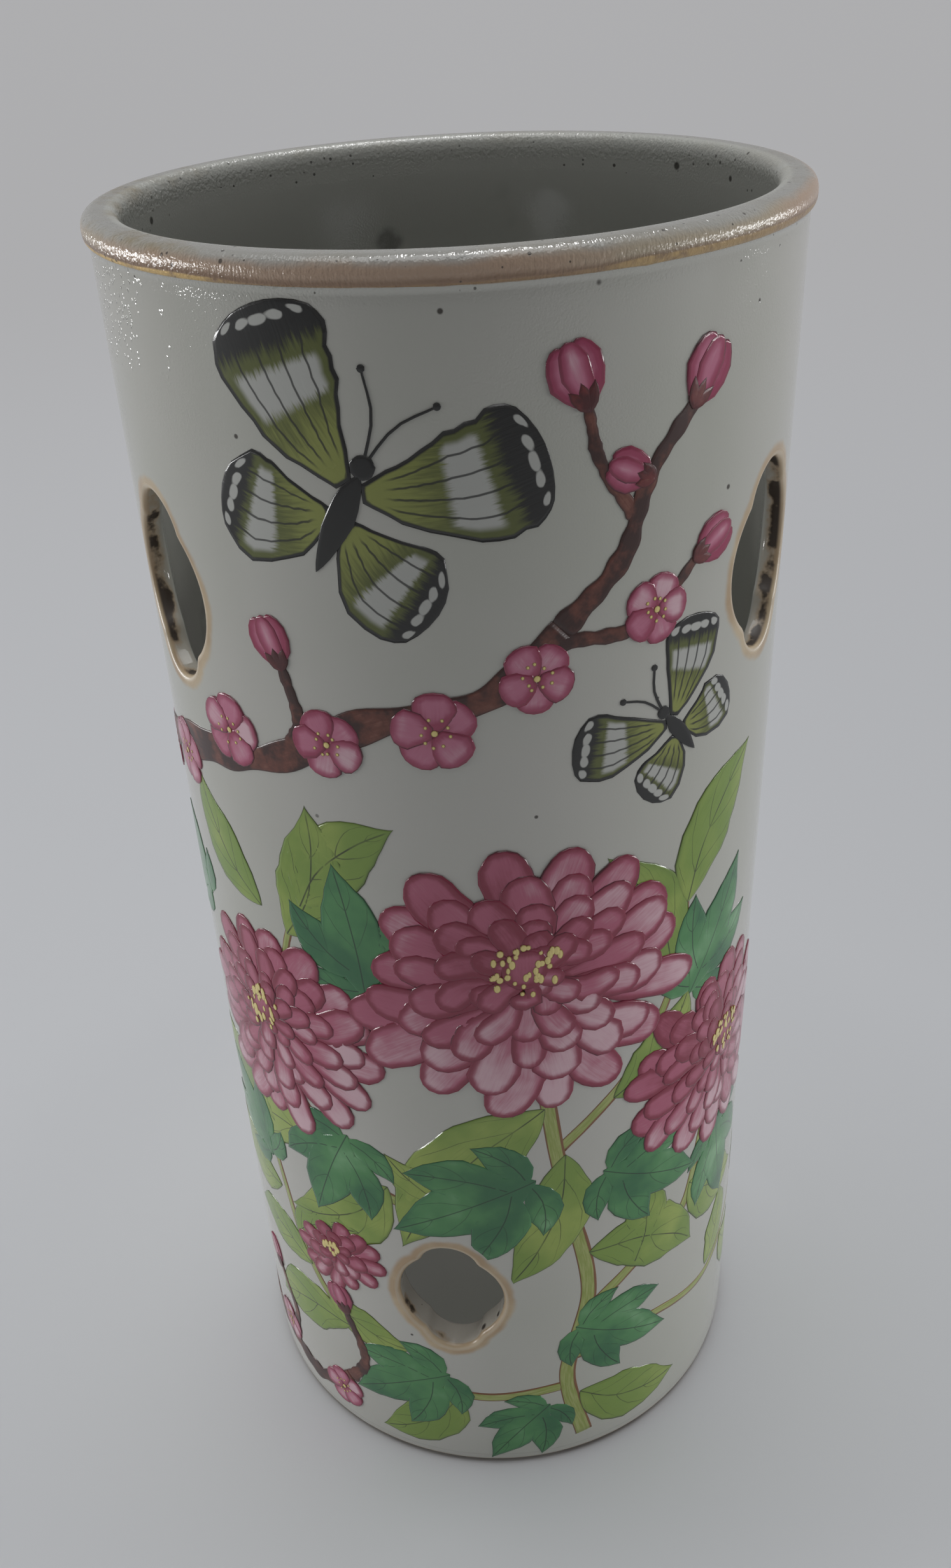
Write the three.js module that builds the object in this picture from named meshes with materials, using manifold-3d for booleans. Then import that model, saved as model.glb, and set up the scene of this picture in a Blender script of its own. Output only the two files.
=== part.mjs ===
// A porcelain hat stand: a tall, slightly tapering cylinder on a shallow foot ring, with a
// rounded lip and six pierced openings in two staggered rows of three. The clay members are
// the ones a potter forms and lutes together with slip: foot ring, floor slab, wall and lip.
// Millimetres, +Z up. The origin is the centre of the foot, on the surface it stands on.
// The side that faces the viewer looks along -Y.

import * as THREE from 'three';
import { mergeVertices } from 'three/addons/utils/BufferGeometryUtils.js';
import Module from 'manifold-3d';

// Overall size
const standHeight = 282;

// Wall: a cone so slight that it reads as a cylinder
const wallRadiusFoot = 60.5; // outside, at the surface the stand rests on
const wallRadiusTop = 62.5; // outside, under the lip
const wallThicknessFoot = 8; // the wall thins upwards, as it was thrown
const wallThicknessThin = 3.4;
const wallThicknessLip = 5.8; // and swells again inside to carry the lip
const swellHeight = 23; // how far below the lip the swelling starts
const coveRadius = 5; // clay worked into the corner between wall and floor

// Lip: a rounded edge with a slight bead outside and a narrow flat land on top
const lipHeight = 7;
const beadProud = 1; // how far the bead stands out from the wall
const lipLandWidth = 1.6;
const lipInnerRound = 2.4; // half of the rounding on the inner edge, measured across
const lipInnerDrop = 3.4; // and down
const beadHeight = 2.6; // widest place of the bead, below the top
const beadUnderside = 4.4; // where the bead has died into the wall, below the top

// Foot ring and floor
const footHeight = 4;
const footWidth = 6.5;
const footSetIn = 0.3; // the ring's outside is turned a little smaller than the wall
const footBevel = 2;
const floorThickness = 7.5;
const floorEdgeRound = 1.0;

// Pierced openings. Each is four arcs that meet in four cusps.
const upperOpening = {
  halfWidth: 13,
  halfHeight: 17.5,
  cuspAcross: 7.6, // the cusp's place, from the opening's centre
  cuspUp: 11.2,
};
const lowerOpening = {
  halfWidth: 11.8,
  halfHeight: 16.4,
  cuspAcross: 6.2,
  cuspUp: 11.6,
};
const upperOpeningDrop = 60; // centre, below the top of the lip
const lowerOpeningRise = 60.7; // centre, above the foot
const openingsInRow = 3;
const upperRowTurn = 60.2; // degrees round from the side that faces the viewer
const lowerRowTurn = -10.6;
const arrisRadius = 1.2; // the wiped, rounded edge of an opening
const arrisStart = 18; // degrees: the rounding starts clear of the surface's own slope

// How finely curves are cut into faces
const roundSegments = 96;
const curveSegments = 4;
const lobeSegments = 8;
const swellSegments = 6;
const arrisSteps = 2;
const cutOverrun = 1.5; // how far a cutter stands clear of the faces it cuts through

// Glazed clay and bare clay
const glazeColour = 0xabaaa6;
const glazeRoughness = 0.12;
const bareClayColour = 0xa1937d;
const bareClayRoughness = 0.8;

const degrees = Math.PI / 180;
const fullTurn = 360;
const turnToUp = Math.PI / 2;

const glaze = (colour) =>
  new THREE.MeshStandardMaterial({
    color: colour,
    roughness: glazeRoughness,
    metalness: 0,
  });
const bareClay = () =>
  new THREE.MeshStandardMaterial({
    color: bareClayColour,
    roughness: bareClayRoughness,
    metalness: 0,
  });

// Places that neighbouring members share
const lipBase = standHeight - lipHeight;
const floorTop = footHeight + floorThickness;
const lipRadius = wallRadiusTop + beadProud; // the widest place of the whole stand
const wallSlope = (wallRadiusTop - wallRadiusFoot) / lipBase;
const outerRadius = (z) => wallRadiusFoot + wallSlope * z;
const swellBase = lipBase - swellHeight;
const { lerp, smoothstep } = THREE.MathUtils;
const wallThickness = (z) =>
  z < swellBase
    ? lerp(wallThicknessFoot, wallThicknessThin, z / swellBase)
    : lerp(wallThicknessThin, wallThicknessLip, smoothstep(z, swellBase, lipBase));
const innerRadius = (z) => outerRadius(z) - wallThickness(z);

const wasm = await Module();
wasm.setup();

// A closed three.js geometry as a manifold solid: only positions, with shared corners merged.
function toSolid(geometry) {
  const bare = new THREE.BufferGeometry();
  bare.setAttribute('position', geometry.getAttribute('position'));
  bare.setIndex(geometry.index);
  const merged = mergeVertices(bare);
  return new wasm.Manifold(
    new wasm.Mesh({
      numProp: 3,
      vertProperties: merged.attributes.position.array,
      triVerts: new Uint32Array(merged.index.array),
    }),
  );
}

function toGeometry(solid) {
  const cut = solid.getMesh();
  const geometry = new THREE.BufferGeometry();
  geometry.setAttribute('position', new THREE.BufferAttribute(cut.vertProperties, cut.numProp));
  geometry.setIndex(new THREE.BufferAttribute(cut.triVerts, 1));
  geometry.computeVertexNormals();
  return geometry;
}

// A profile of (radius, height) points turned round the stand's upright axis.
function turned(profile) {
  const geometry = new THREE.LatheGeometry(profile, roundSegments);
  geometry.rotateX(turnToUp);
  return geometry;
}

const at = (radius, height) => new THREE.Vector2(radius, height);

// Foot ring: set in a little from the wall, with a turned bevel where it meets the table.
function footRing() {
  const outside = outerRadius(0) - footSetIn;
  const inside = outside - footWidth;
  return turned([
    at(inside, footHeight),
    at(inside, footBevel),
    at(inside + footBevel, 0),
    at(outside - footBevel, 0),
    at(outside, footBevel),
    at(outside, footHeight),
    at(inside, footHeight),
  ]);
}

// Floor slab: the disc that the wall stands on, its lower edge softened by the turning tool.
function floorSlab() {
  const softEdge = new THREE.QuadraticBezierCurve(
    at(outerRadius(0) - floorEdgeRound, footHeight),
    at(outerRadius(footHeight), footHeight),
    at(outerRadius(footHeight + floorEdgeRound), footHeight + floorEdgeRound),
  ).getPoints(curveSegments);
  return turned([
    at(0, footHeight),
    ...softEdge,
    at(outerRadius(floorTop), floorTop),
    at(0, floorTop),
  ]);
}

// Wall before piercing: a tapering tube, swollen inside under the lip, with a cove where it is
// luted to the floor.
function plainWall() {
  const coveTop = floorTop + coveRadius;
  const cove = new THREE.QuadraticBezierCurve(
    at(innerRadius(coveTop), coveTop),
    at(innerRadius(floorTop), floorTop),
    at(innerRadius(floorTop) - coveRadius, floorTop),
  ).getPoints(curveSegments);
  const swelling = Array.from({ length: swellSegments + 1 }, (_, i) => {
    const z = lipBase - (swellHeight * i) / swellSegments;
    return at(innerRadius(z), z);
  });
  return turned([
    ...cove,
    at(outerRadius(floorTop), floorTop),
    at(outerRadius(lipBase), lipBase),
    ...swelling,
    at(innerRadius(coveTop), coveTop),
  ]);
}

// Lip: up the outside over the bead, across the land, and down the rounded inner edge.
function lip() {
  const outside = outerRadius(lipBase);
  const inside = innerRadius(lipBase);
  const landInside = inside + lipInnerRound;
  const landOutside = landInside + lipLandWidth;
  const beadLow = standHeight - beadUnderside;
  const beadMiddle = standHeight - beadHeight;
  const outline = new THREE.Path();
  outline.moveTo(inside, lipBase);
  outline.lineTo(outside, lipBase);
  outline.lineTo(outside, beadLow);
  outline.quadraticCurveTo(lipRadius, beadLow, lipRadius, beadMiddle);
  outline.quadraticCurveTo(lipRadius, standHeight, landOutside, standHeight);
  outline.lineTo(landInside, standHeight);
  outline.quadraticCurveTo(inside, standHeight, inside, standHeight - lipInnerDrop);
  outline.lineTo(inside, lipBase);
  return turned(outline.getPoints(curveSegments));
}

// The arc through the two cusps and the lobe's furthest point: its radius and its centre's
// distance from the opening's centre, both along the lobe's own direction.
function lobeArc(reach, cuspAlong, cuspBeside) {
  const rise = reach - cuspAlong;
  const radius = (cuspBeside * cuspBeside + rise * rise) / (2 * rise);
  return { radius, centre: reach - radius };
}

// The outline of an opening, let out all round by grow: points [across, up], anticlockwise.
function openingOutline(opening, grow) {
  const side = lobeArc(opening.halfWidth, opening.cuspAcross, opening.cuspUp);
  const end = lobeArc(opening.halfHeight, opening.cuspUp, opening.cuspAcross);
  const sideRadius = side.radius + grow;
  const endRadius = end.radius + grow;
  // The cusp is where the two grown circles cross.
  const apart = Math.hypot(side.centre, end.centre);
  const along = (sideRadius ** 2 - endRadius ** 2 + apart ** 2) / (2 * apart);
  const beside = Math.sqrt(sideRadius ** 2 - along ** 2);
  const toEnd = [-side.centre / apart, end.centre / apart];
  const cusp = [
    side.centre + along * toEnd[0] + beside * toEnd[1],
    along * toEnd[1] - beside * toEnd[0],
  ];
  const sideSweep = Math.atan2(cusp[1], cusp[0] - side.centre);
  const endSweep = Math.atan2(cusp[0], cusp[1] - end.centre);
  const lobes = [
    { centre: [side.centre, 0], radius: sideRadius, facing: 0, sweep: sideSweep },
    { centre: [0, end.centre], radius: endRadius, facing: 90, sweep: endSweep },
    { centre: [-side.centre, 0], radius: sideRadius, facing: 180, sweep: sideSweep },
    { centre: [0, -end.centre], radius: endRadius, facing: 270, sweep: endSweep },
  ];
  return lobes.flatMap(({ centre, radius, facing, sweep }) =>
    Array.from({ length: lobeSegments }, (_, i) => {
      const angle = facing * degrees + sweep * ((2 * i) / lobeSegments - 1);
      return [centre[0] + radius * Math.cos(angle), centre[1] + radius * Math.sin(angle)];
    }),
  );
}

// Rings of a cutter, from outside the wall to inside it: the radius that each follows up the
// wall, and how much it is let out. Both edges of the opening come out rounded.
function cutterRings() {
  const rounding = Array.from({ length: arrisSteps + 1 }, (_, i) => {
    const angle = (arrisStart + ((90 - arrisStart) * i) / arrisSteps) * degrees;
    return {
      depth: arrisRadius * (1 - Math.cos(angle)),
      grow: arrisRadius * (1 - Math.sin(angle)),
    };
  });
  const flare = (cutOverrun + rounding[0].depth) / Math.tan(arrisStart * degrees);
  const clear = { depth: -cutOverrun, grow: rounding[0].grow + flare };
  const edge = [clear, ...rounding];
  const outer = edge.map(({ depth, grow }) => ({ radiusAt: (z) => outerRadius(z) - depth, grow }));
  const inner = edge.map(({ depth, grow }) => ({ radiusAt: (z) => innerRadius(z) + depth, grow }));
  return [...outer, ...inner.reverse()];
}

// A cutter for one opening, lofted through rings that follow the wall's own curve.
function openingCutter(opening, turn, height) {
  const rings = cutterRings();
  const count = openingOutline(opening, 0).length;
  const positions = [];
  const place = (radiusAt, across, up) => {
    const z = height + up;
    const radius = radiusAt(z);
    const angle = turn * degrees + Math.asin(across / radius);
    positions.push(radius * Math.sin(angle), -radius * Math.cos(angle), z);
  };
  for (const { radiusAt, grow } of rings) {
    for (const [across, up] of openingOutline(opening, grow)) place(radiusAt, across, up);
  }
  place(rings[0].radiusAt, 0, 0);
  place(rings.at(-1).radiusAt, 0, 0);
  const faces = [];
  const outerCentre = rings.length * count;
  const innerCentre = outerCentre + 1;
  const innerRing = outerCentre - count;
  for (let i = 0; i < count; i += 1) {
    const next = (i + 1) % count;
    faces.push(outerCentre, i, next, innerCentre, innerRing + next, innerRing + i);
    for (let ring = 1; ring < rings.length; ring += 1) {
      const front = (ring - 1) * count;
      const back = ring * count;
      faces.push(front + i, back + i, back + next, front + i, back + next, front + next);
    }
  }
  const geometry = new THREE.BufferGeometry();
  geometry.setAttribute('position', new THREE.Float32BufferAttribute(positions, 3));
  geometry.setIndex(faces);
  return toSolid(geometry);
}

function rowOfCutters(opening, firstTurn, height) {
  return Array.from({ length: openingsInRow }, (_, i) =>
    openingCutter(opening, firstTurn + (fullTurn / openingsInRow) * i, height),
  );
}

function piercedWall() {
  const cutters = [
    ...rowOfCutters(upperOpening, upperRowTurn, standHeight - upperOpeningDrop),
    ...rowOfCutters(lowerOpening, lowerRowTurn, lowerOpeningRise),
  ];
  return toGeometry(
    cutters.reduce((wall, cutter) => wall.subtract(cutter), toSolid(plainWall())),
  );
}

const hatStand = new THREE.Group();

function addMember(name, geometry, material) {
  const mesh = new THREE.Mesh(geometry, material);
  mesh.name = name;
  hatStand.add(mesh);
}

addMember('foot_ring', footRing(), bareClay());
addMember('floor_slab', floorSlab(), glaze(glazeColour));
addMember('wall', piercedWall(), glaze(glazeColour));
addMember('lip', lip(), glaze(glazeColour));

export default hatStand;
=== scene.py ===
import math

import bpy
import numpy as np
from mathutils import Matrix, Vector


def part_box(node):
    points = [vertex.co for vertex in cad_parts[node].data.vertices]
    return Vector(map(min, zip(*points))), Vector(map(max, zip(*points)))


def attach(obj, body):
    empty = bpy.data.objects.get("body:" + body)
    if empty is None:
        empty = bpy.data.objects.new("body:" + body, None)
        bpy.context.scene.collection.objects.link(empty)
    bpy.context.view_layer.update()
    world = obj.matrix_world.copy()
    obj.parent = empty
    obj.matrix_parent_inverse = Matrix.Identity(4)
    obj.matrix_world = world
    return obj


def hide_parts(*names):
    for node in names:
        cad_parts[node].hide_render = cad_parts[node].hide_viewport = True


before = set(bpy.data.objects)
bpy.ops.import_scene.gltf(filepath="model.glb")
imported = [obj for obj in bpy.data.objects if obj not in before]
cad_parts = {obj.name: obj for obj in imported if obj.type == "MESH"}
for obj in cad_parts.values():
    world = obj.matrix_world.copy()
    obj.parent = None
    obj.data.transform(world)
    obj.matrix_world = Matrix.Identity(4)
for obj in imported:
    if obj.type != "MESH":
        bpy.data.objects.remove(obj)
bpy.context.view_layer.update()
print("frame loaded")

# Lengths below are millimetres, as a potter would measure them, until a mesh is built.
millimetre = 0.001


def boxOf(node):
    low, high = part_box(node)
    return np.array(low) / millimetre, np.array(high) / millimetre


standTop = boxOf("lip")[1][2]
lipBase = boxOf("lip")[0][2]
lipWidest = boxOf("lip")[1][0]
footTop = boxOf("foot_ring")[1][2]
footOutside = boxOf("foot_ring")[1][0]
floorTop = boxOf("wall")[0][2]
wallTopRadius = boxOf("wall")[1][0]
wallFootRadius = boxOf("floor_slab")[1][0]  # the wall stands on the slab with the same outside
wallSlope = (wallTopRadius - wallFootRadius) / (lipBase - floorTop)
roundColumns = 336  # faces round the axis, the same on every turned piece so that seams meet
columnTurns = np.arange(roundColumns) * 2 * math.pi / roundColumns


def outerRadius(z):
    return wallFootRadius + wallSlope * (z - floorTop)


# Camera: at the photograph's viewing angle, with its lens and the frame's offset
viewpoint = {
    "place": (0.0, -0.27076, 0.32187),
    "pitch": 0.56745,  # radians below level
    "heading": -0.01717,
    "roll": -0.05739,
    "lens": 32.783,
    "sensor": 36.0,
    "shift": (0.01179, 0.02299),
}


def makeCamera(v):
    # Axes: forward from heading and pitch, right is forward x up, then both turned by the roll
    cosPitch = math.cos(v["pitch"])
    forward = Vector((
        math.sin(v["heading"]) * cosPitch,
        math.cos(v["heading"]) * cosPitch,
        -math.sin(v["pitch"]),
    ))
    right = forward.cross(Vector((0, 0, 1))).normalized()
    up = right.cross(forward)
    rolledRight = right * math.cos(v["roll"]) + up * math.sin(v["roll"])
    rolledUp = up * math.cos(v["roll"]) - right * math.sin(v["roll"])
    data = bpy.data.cameras.new("camera")
    data.lens = v["lens"]
    data.sensor_width = v["sensor"]
    data.shift_x, data.shift_y = v["shift"]
    data.clip_start = 0.01
    camera = bpy.data.objects.new("camera", data)
    camera.matrix_world = Matrix((
        (rolledRight.x, rolledUp.x, -forward.x, v["place"][0]),
        (rolledRight.y, rolledUp.y, -forward.y, v["place"][1]),
        (rolledRight.z, rolledUp.z, -forward.z, v["place"][2]),
        (0, 0, 0, 1),
    ))
    bpy.context.scene.collection.objects.link(camera)
    bpy.context.scene.camera = camera


makeCamera(viewpoint)
print("camera placed")


def colour(hexDigits):
    # sRGB hex digits to the linear colour that a socket holds
    shares = np.array([int(hexDigits[i:i + 2], 16) for i in (0, 2, 4)]) / 255
    linear = np.where(shares <= 0.04045, shares / 12.92, ((shares + 0.055) / 1.055) ** 2.4)
    return (*[float(c) for c in linear], 1.0)


# Shader maths
class Wire:
    # A node's output. Arithmetic on it adds Math nodes to the same tree.
    def __init__(self, nodes, socket):
        self.nodes = nodes
        self.socket = socket

    def math(self, operation, *values):
        return self.nodes.node("Math", {"operation": operation}, dict(enumerate(values)))

    def __add__(self, other):
        return self.math("ADD", self, other)

    def __sub__(self, other):
        return self.math("SUBTRACT", self, other)

    def __rsub__(self, other):
        return self.math("SUBTRACT", other, self)

    def __mul__(self, other):
        return self.math("MULTIPLY", self, other)

    def __truediv__(self, other):
        return self.math("DIVIDE", self, other)

    def __pow__(self, other):
        return self.math("POWER", self, other)

    def __abs__(self):
        return self.math("ABSOLUTE", self)

    def most(self, other):
        return self.math("MAXIMUM", self, other)

    def fraction(self):
        return self.math("FRACT", self)

    __radd__ = __add__
    __rmul__ = __mul__


def hypot(x, y):
    # The length of (x, y), for outputs of nodes
    return (x * x + y * y) ** 0.5


class Nodes:
    # The node tree of a material or of the world
    def __init__(self, owner):
        owner.use_nodes = True
        self.tree = owner.node_tree

    def node(self, kind, settings, sockets, output=0):
        made = self.tree.nodes.new("ShaderNode" + kind)
        for name, value in settings.items():
            setattr(made, name, value)
        for name, value in sockets.items():
            self.feed(made.inputs[name], value)
        return Wire(self, made.outputs[output])

    def feed(self, socket, value):
        # value: an output of another node, the hex digits of a colour, or what the socket holds
        if isinstance(value, Wire):
            self.tree.links.new(value.socket, socket)
        else:
            socket.default_value = colour(value) if isinstance(value, str) else value

    def parts(self, vector):
        split = self.node("SeparateXYZ", {}, {0: vector}).socket.node
        return [Wire(self, socket) for socket in split.outputs]


class Paint(Nodes):
    # A material under construction: one Principled shader, the nodes that feed it, and the
    # colour laid on so far. Its patterns lie in Object coordinates, which are metres.
    def __init__(self, name, **uniform):
        self.material = bpy.data.materials.new(name)
        super().__init__(self.material)
        self.shader = self.tree.nodes["Principled BSDF"]
        self.set(**uniform)
        self.at = self.node("TexCoord", {}, {}, "Object")
        self.body = None

    def set(self, **inputs):
        for name, value in inputs.items():
            self.feed(self.shader.inputs[name.replace("_", " ")], value)
        return self.material

    def attribute(self, name, output="Fac"):
        return self.node("Attribute", {"attribute_name": name}, {}, output)

    def vector(self, x, y, z):
        return self.node("CombineXYZ", {}, {0: x, 1: y, 2: z})

    def noise(self, scale, detail=2.0, roughness=0.5, at=None):
        sockets = {"Vector": at or self.at, "Scale": scale, "Detail": detail,
                   "Roughness": roughness}
        return self.node("TexNoise", {}, sockets, "Fac")

    def cells(self, scale, output):
        return self.node("TexVoronoi", {}, {"Vector": self.at, "Scale": scale}, output)

    def ramp(self, value, low, high, toLow=0.0, toHigh=1.0):
        # A smooth step from toLow to toHigh as value goes from low to high
        settings = {"interpolation_type": "SMOOTHSTEP"}
        sockets = {"Value": value, "From Min": low, "From Max": high,
                   "To Min": toLow, "To Max": toHigh}
        return self.node("MapRange", settings, sockets)

    def blend(self, share, first, second):
        # Colours: first where share is 0, second where it is 1
        return self.node("Mix", {"data_type": "RGBA"}, {0: share, 6: first, 7: second}, 2)

    def over(self, share, tone):
        # Lays a tone over the colour so far, where share is above 0
        self.body = self.blend(share, self.body, tone)

    def bump(self, height, distance, strength=1.0):
        sockets = {"Height": height, "Distance": distance, "Strength": strength}
        return self.node("Bump", {}, sockets)


# Meshes
def buildMesh(name, places, faces, material, attributes=None, sharp=None):
    # places: n x 3 in millimetres, of which those that no face uses are left out. faces: quads,
    # with a repeated last corner for a triangle.
    used, faces = np.unique(faces, return_inverse=True)
    places, faces = np.asarray(places)[used] * millimetre, faces.reshape(-1, 4)
    triangle = faces[:, 3] == faces[:, 2]
    totals = np.where(triangle, 3, 4)
    keep = np.ones(faces.shape, bool)
    keep[triangle, 3] = False
    mesh = bpy.data.meshes.new(name)
    mesh.vertices.add(len(places))
    mesh.vertices.foreach_set("co", places.astype(np.float32).ravel())
    mesh.loops.add(int(totals.sum()))
    mesh.loops.foreach_set("vertex_index", faces[keep].astype(np.int32))
    mesh.polygons.add(len(faces))
    starts = np.concatenate([[0], np.cumsum(totals)[:-1]]).astype(np.int32)
    mesh.polygons.foreach_set("loop_start", starts)
    mesh.polygons.foreach_set("use_smooth", np.ones(len(faces), bool))
    mesh.update(calc_edges=True)
    for key, values in (attributes or {}).items():
        values = np.asarray(values, np.float32)[used]
        kind, field = ("FLOAT", "value") if values.ndim == 1 else ("FLOAT_VECTOR", "vector")
        mesh.attributes.new(key, kind, "POINT").data.foreach_set(field, values.ravel())
    if sharp is not None:
        # sharp: a ring number for each vertex, or -1; edges along such a ring are creases
        ends = np.zeros(len(mesh.edges) * 2, np.int32)
        mesh.edges.foreach_get("vertices", ends)
        first, second = sharp[used][ends].reshape(-1, 2).T
        crease = (first >= 0) & (first == second)
        mesh.attributes.new("sharp_edge", "BOOLEAN", "EDGE").data.foreach_set("value", crease)
    mesh.validate()
    mesh.materials.append(material)
    piece = bpy.data.objects.new(name, mesh)
    bpy.context.scene.collection.objects.link(piece)
    return piece


def turnBetween(theta, turn):
    # From turn to theta the short way round, between -pi and pi
    return (theta - turn + math.pi) % (2 * math.pi) - math.pi


def ontoAxis(radius, theta, z):
    # theta runs from the front (-Y) towards +X
    return np.stack([radius * np.sin(theta), -radius * np.cos(theta), z], -1)


def quadraticCurve(start, control, end, count):
    # (1-t)^2 start + 2t(1-t) control + t^2 end, without the start point
    t = np.linspace(0, 1, count + 1)[1:, None]
    start, control, end = map(np.array, (start, control, end))
    return (1 - t) ** 2 * start + 2 * t * (1 - t) * control + t ** 2 * end


def gridQuads(rows, columns, rowsMeet, columnsMeet):
    # The corners of a grid's quads. Its last row or column may meet the first again.
    row = np.arange(rows if rowsMeet else rows - 1)[:, None]
    column = np.arange(columns if columnsMeet else columns - 1)[None, :]
    above, after = (row + 1) % rows, (column + 1) % columns
    corners = [row * columns + column, row * columns + after,
               above * columns + after, above * columns + column]
    return np.stack(corners, -1).reshape(-1, 4)


def turnedPiece(name, profile, creases, material):
    # The profile, (radius, height) points that go up the outside, carried round the axis.
    # It closes on itself, or starts and ends on the axis, where each end is one vertex.
    profile = np.asarray(profile, float)
    count = len(profile)
    onAxis = profile[0, 0] == 0
    radius, turn = np.meshgrid(profile[:, 0], columnTurns, indexing="ij")
    height = np.repeat(profile[:, 1:], roundColumns, 1)
    places = ontoAxis(radius, turn, height).reshape(-1, 3)
    quads = gridQuads(count, roundColumns, not onAxis, True)
    rings = np.repeat(np.arange(count), roundColumns)
    if onAxis:
        # the two end rows have collapsed on the axis: their corners become one vertex each
        last = (count - 1) * roundColumns
        quads[quads < roundColumns] = 0
        quads[quads >= last] = last
        startFan = quads[:, 0] == quads[:, 1]
        quads[startFan] = quads[startFan][:, [0, 2, 3, 3]]
    sharp = np.where(np.isin(rings, creases), rings, -1)
    return buildMesh(name, places, quads, material, None, sharp)


# The pierced openings: each is four arcs that meet in four cusps
openingRows = {
    "upper": {"across": 13.0, "up": 17.5, "cusp": (7.6, 11.2), "turn": 60.2, "height": 222.0},
    "lower": {"across": 11.8, "up": 16.4, "cusp": (6.2, 11.6), "turn": -10.6, "height": 60.7},
    "inRow": 3,
}


def arcThrough(reach, along, beside):
    # The circle through the cusps and the lobe's furthest point: radius, centre's distance
    rise = reach - along
    radius = (beside ** 2 + rise ** 2) / (2 * rise)
    return radius, reach - radius


def listOpenings(rows):
    found = []
    for row in (rows["upper"], rows["lower"]):
        cuspAcross, cuspUp = row["cusp"]
        side = arcThrough(row["across"], cuspAcross, cuspUp)
        end = arcThrough(row["up"], cuspUp, cuspAcross)
        for k in range(rows["inRow"]):
            turn = math.radians(row["turn"] + 360 / rows["inRow"] * k)
            found.append({"turn": turn, "height": row["height"], "side": side, "end": end})
    return found


openings = listOpenings(openingRows)


def nearestOnOutline(opening, across, up, grow):
    # Distance to the outline let out by grow, negative inside, and the outline's nearest point.
    # Seen from one quarter the opening is the union of a side circle and an end circle.
    sideRadius, sideCentre = opening["side"]
    endRadius, endCentre = opening["end"]
    sideX = np.copysign(1.0, across) * sideCentre
    endY = np.copysign(1.0, up) * endCentre
    toSide = np.maximum(np.hypot(across - sideX, up), 1e-6)
    toEnd = np.maximum(np.hypot(across, up - endY), 1e-6)
    sideGap = toSide - sideRadius - grow
    endGap = toEnd - endRadius - grow
    bySide = sideGap <= endGap
    pull = np.where(bySide, (sideRadius + grow) / toSide, (endRadius + grow) / toEnd)
    nearX = np.where(bySide, sideX + (across - sideX) * pull, across * pull)
    nearY = np.where(bySide, up * pull, endY + (up - endY) * pull)
    return np.where(bySide, sideGap, endGap), nearX, nearY


def ontoOutline(opening, across, up, grow):
    # A few steps, because a point near a cusp can land inside the other circle
    for _ in range(4):
        _, across, up = nearestOnOutline(opening, across, up, grow)
    return across, up


def openingField(theta, z, radius, grow):
    # For each place on the wall: the distance to the nearest opening's outline and its number.
    # An opening counts as far away where it is more than the reach, in radians, to one side.
    reach, far = 1.2, 1e3
    gaps = []
    for opening in openings:
        away = turnBetween(theta, opening["turn"])
        across = radius * np.sin(np.clip(away, -math.pi / 2, math.pi / 2))
        gap, _, _ = nearestOnOutline(opening, across, z - opening["height"], grow)
        gaps.append(np.where(np.abs(away) < reach, gap, far))
    gaps = np.array(gaps)
    return gaps.min(0), gaps.argmin(0)


def pulledOut(theta, z, radius, grow, gap, which):
    # Moves each place that is inside an opening onto its outline
    theta, z = theta.copy(), z.copy()
    for number, opening in enumerate(openings):
        inside = (gap < 0) & (which == number)
        if not inside.any():
            continue
        away = turnBetween(theta[inside], opening["turn"])
        across, up = radius[inside] * np.sin(away), z[inside] - opening["height"]
        across, up = ontoOutline(opening, across, up, grow)
        theta[inside] = opening["turn"] + np.arcsin(across / radius[inside])
        z[inside] = opening["height"] + up
    return theta, z


def borderEdges(quads, total):
    # Directed edges whose opposite belongs to no face: the rims of a sheet of quads
    start = quads.ravel()
    end = np.roll(quads, -1, 1).ravel()
    real = start != end
    start, end = start[real], end[real]
    single = ~np.isin(start * total + end, end * total + start)
    return start[single], end[single]


# Glaze
glazeLook = {
    "body": "AAA9A4",
    "greener": "A3A49C",
    "pooledBrownAndLitPale": "B7B8B2",  # painted light: paler inside, up to the rim, where light falls in through the mouth
    "speck": "27201B",
    "roughness": 0.09,
    "waviness": 0.39,  # millimetres that the thrown wall wanders
    "peel": 0.012,  # millimetres of orange peel
    "coarser": 3.0,  # how much more of it there is in patches near the rim, as a share
    "pearls": 0.18,  # millimetres that the beads of glaze under the lip stand out
    "pit": 0.02,  # millimetres that a speck is sunk
    # iron spots and pin holes: turn in degrees from the front, height, and radius
    "spots": (
        (-1.7, 274.2, 0.5), (49.9, 268.2, 0.35), (44.6, 239.8, 0.5),
        (-33.6, 254.7, 0.45), (9.5, 188.0, 0.4), (-20.0, 46.0, 0.4), (31.0, 206.0, 0.3),
        (-52.0, 176.0, 0.35), (150.0, 120.0, 0.5), (-130.0, 190.0, 0.5), (200.0, 244.0, 0.4),
        (96.0, 158.0, 0.4), (244.0, 80.0, 0.4),
    ),
    "lipSpots": (
        (-41.6, 281.0, 0.3), (-33.9, 280.2, 0.34), (-8.0, 279.6, 0.36), (38.2, 281.6, 0.3),
        (19.5, 276.2, 0.62),
    ),
    "innerSpots": (
        (-103.6, 275.8, 0.8), (127.1, 277.2, 0.85), (110.2, 276.6, 0.6), (143.0, 276.3, 0.4),
    ),
}


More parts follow.
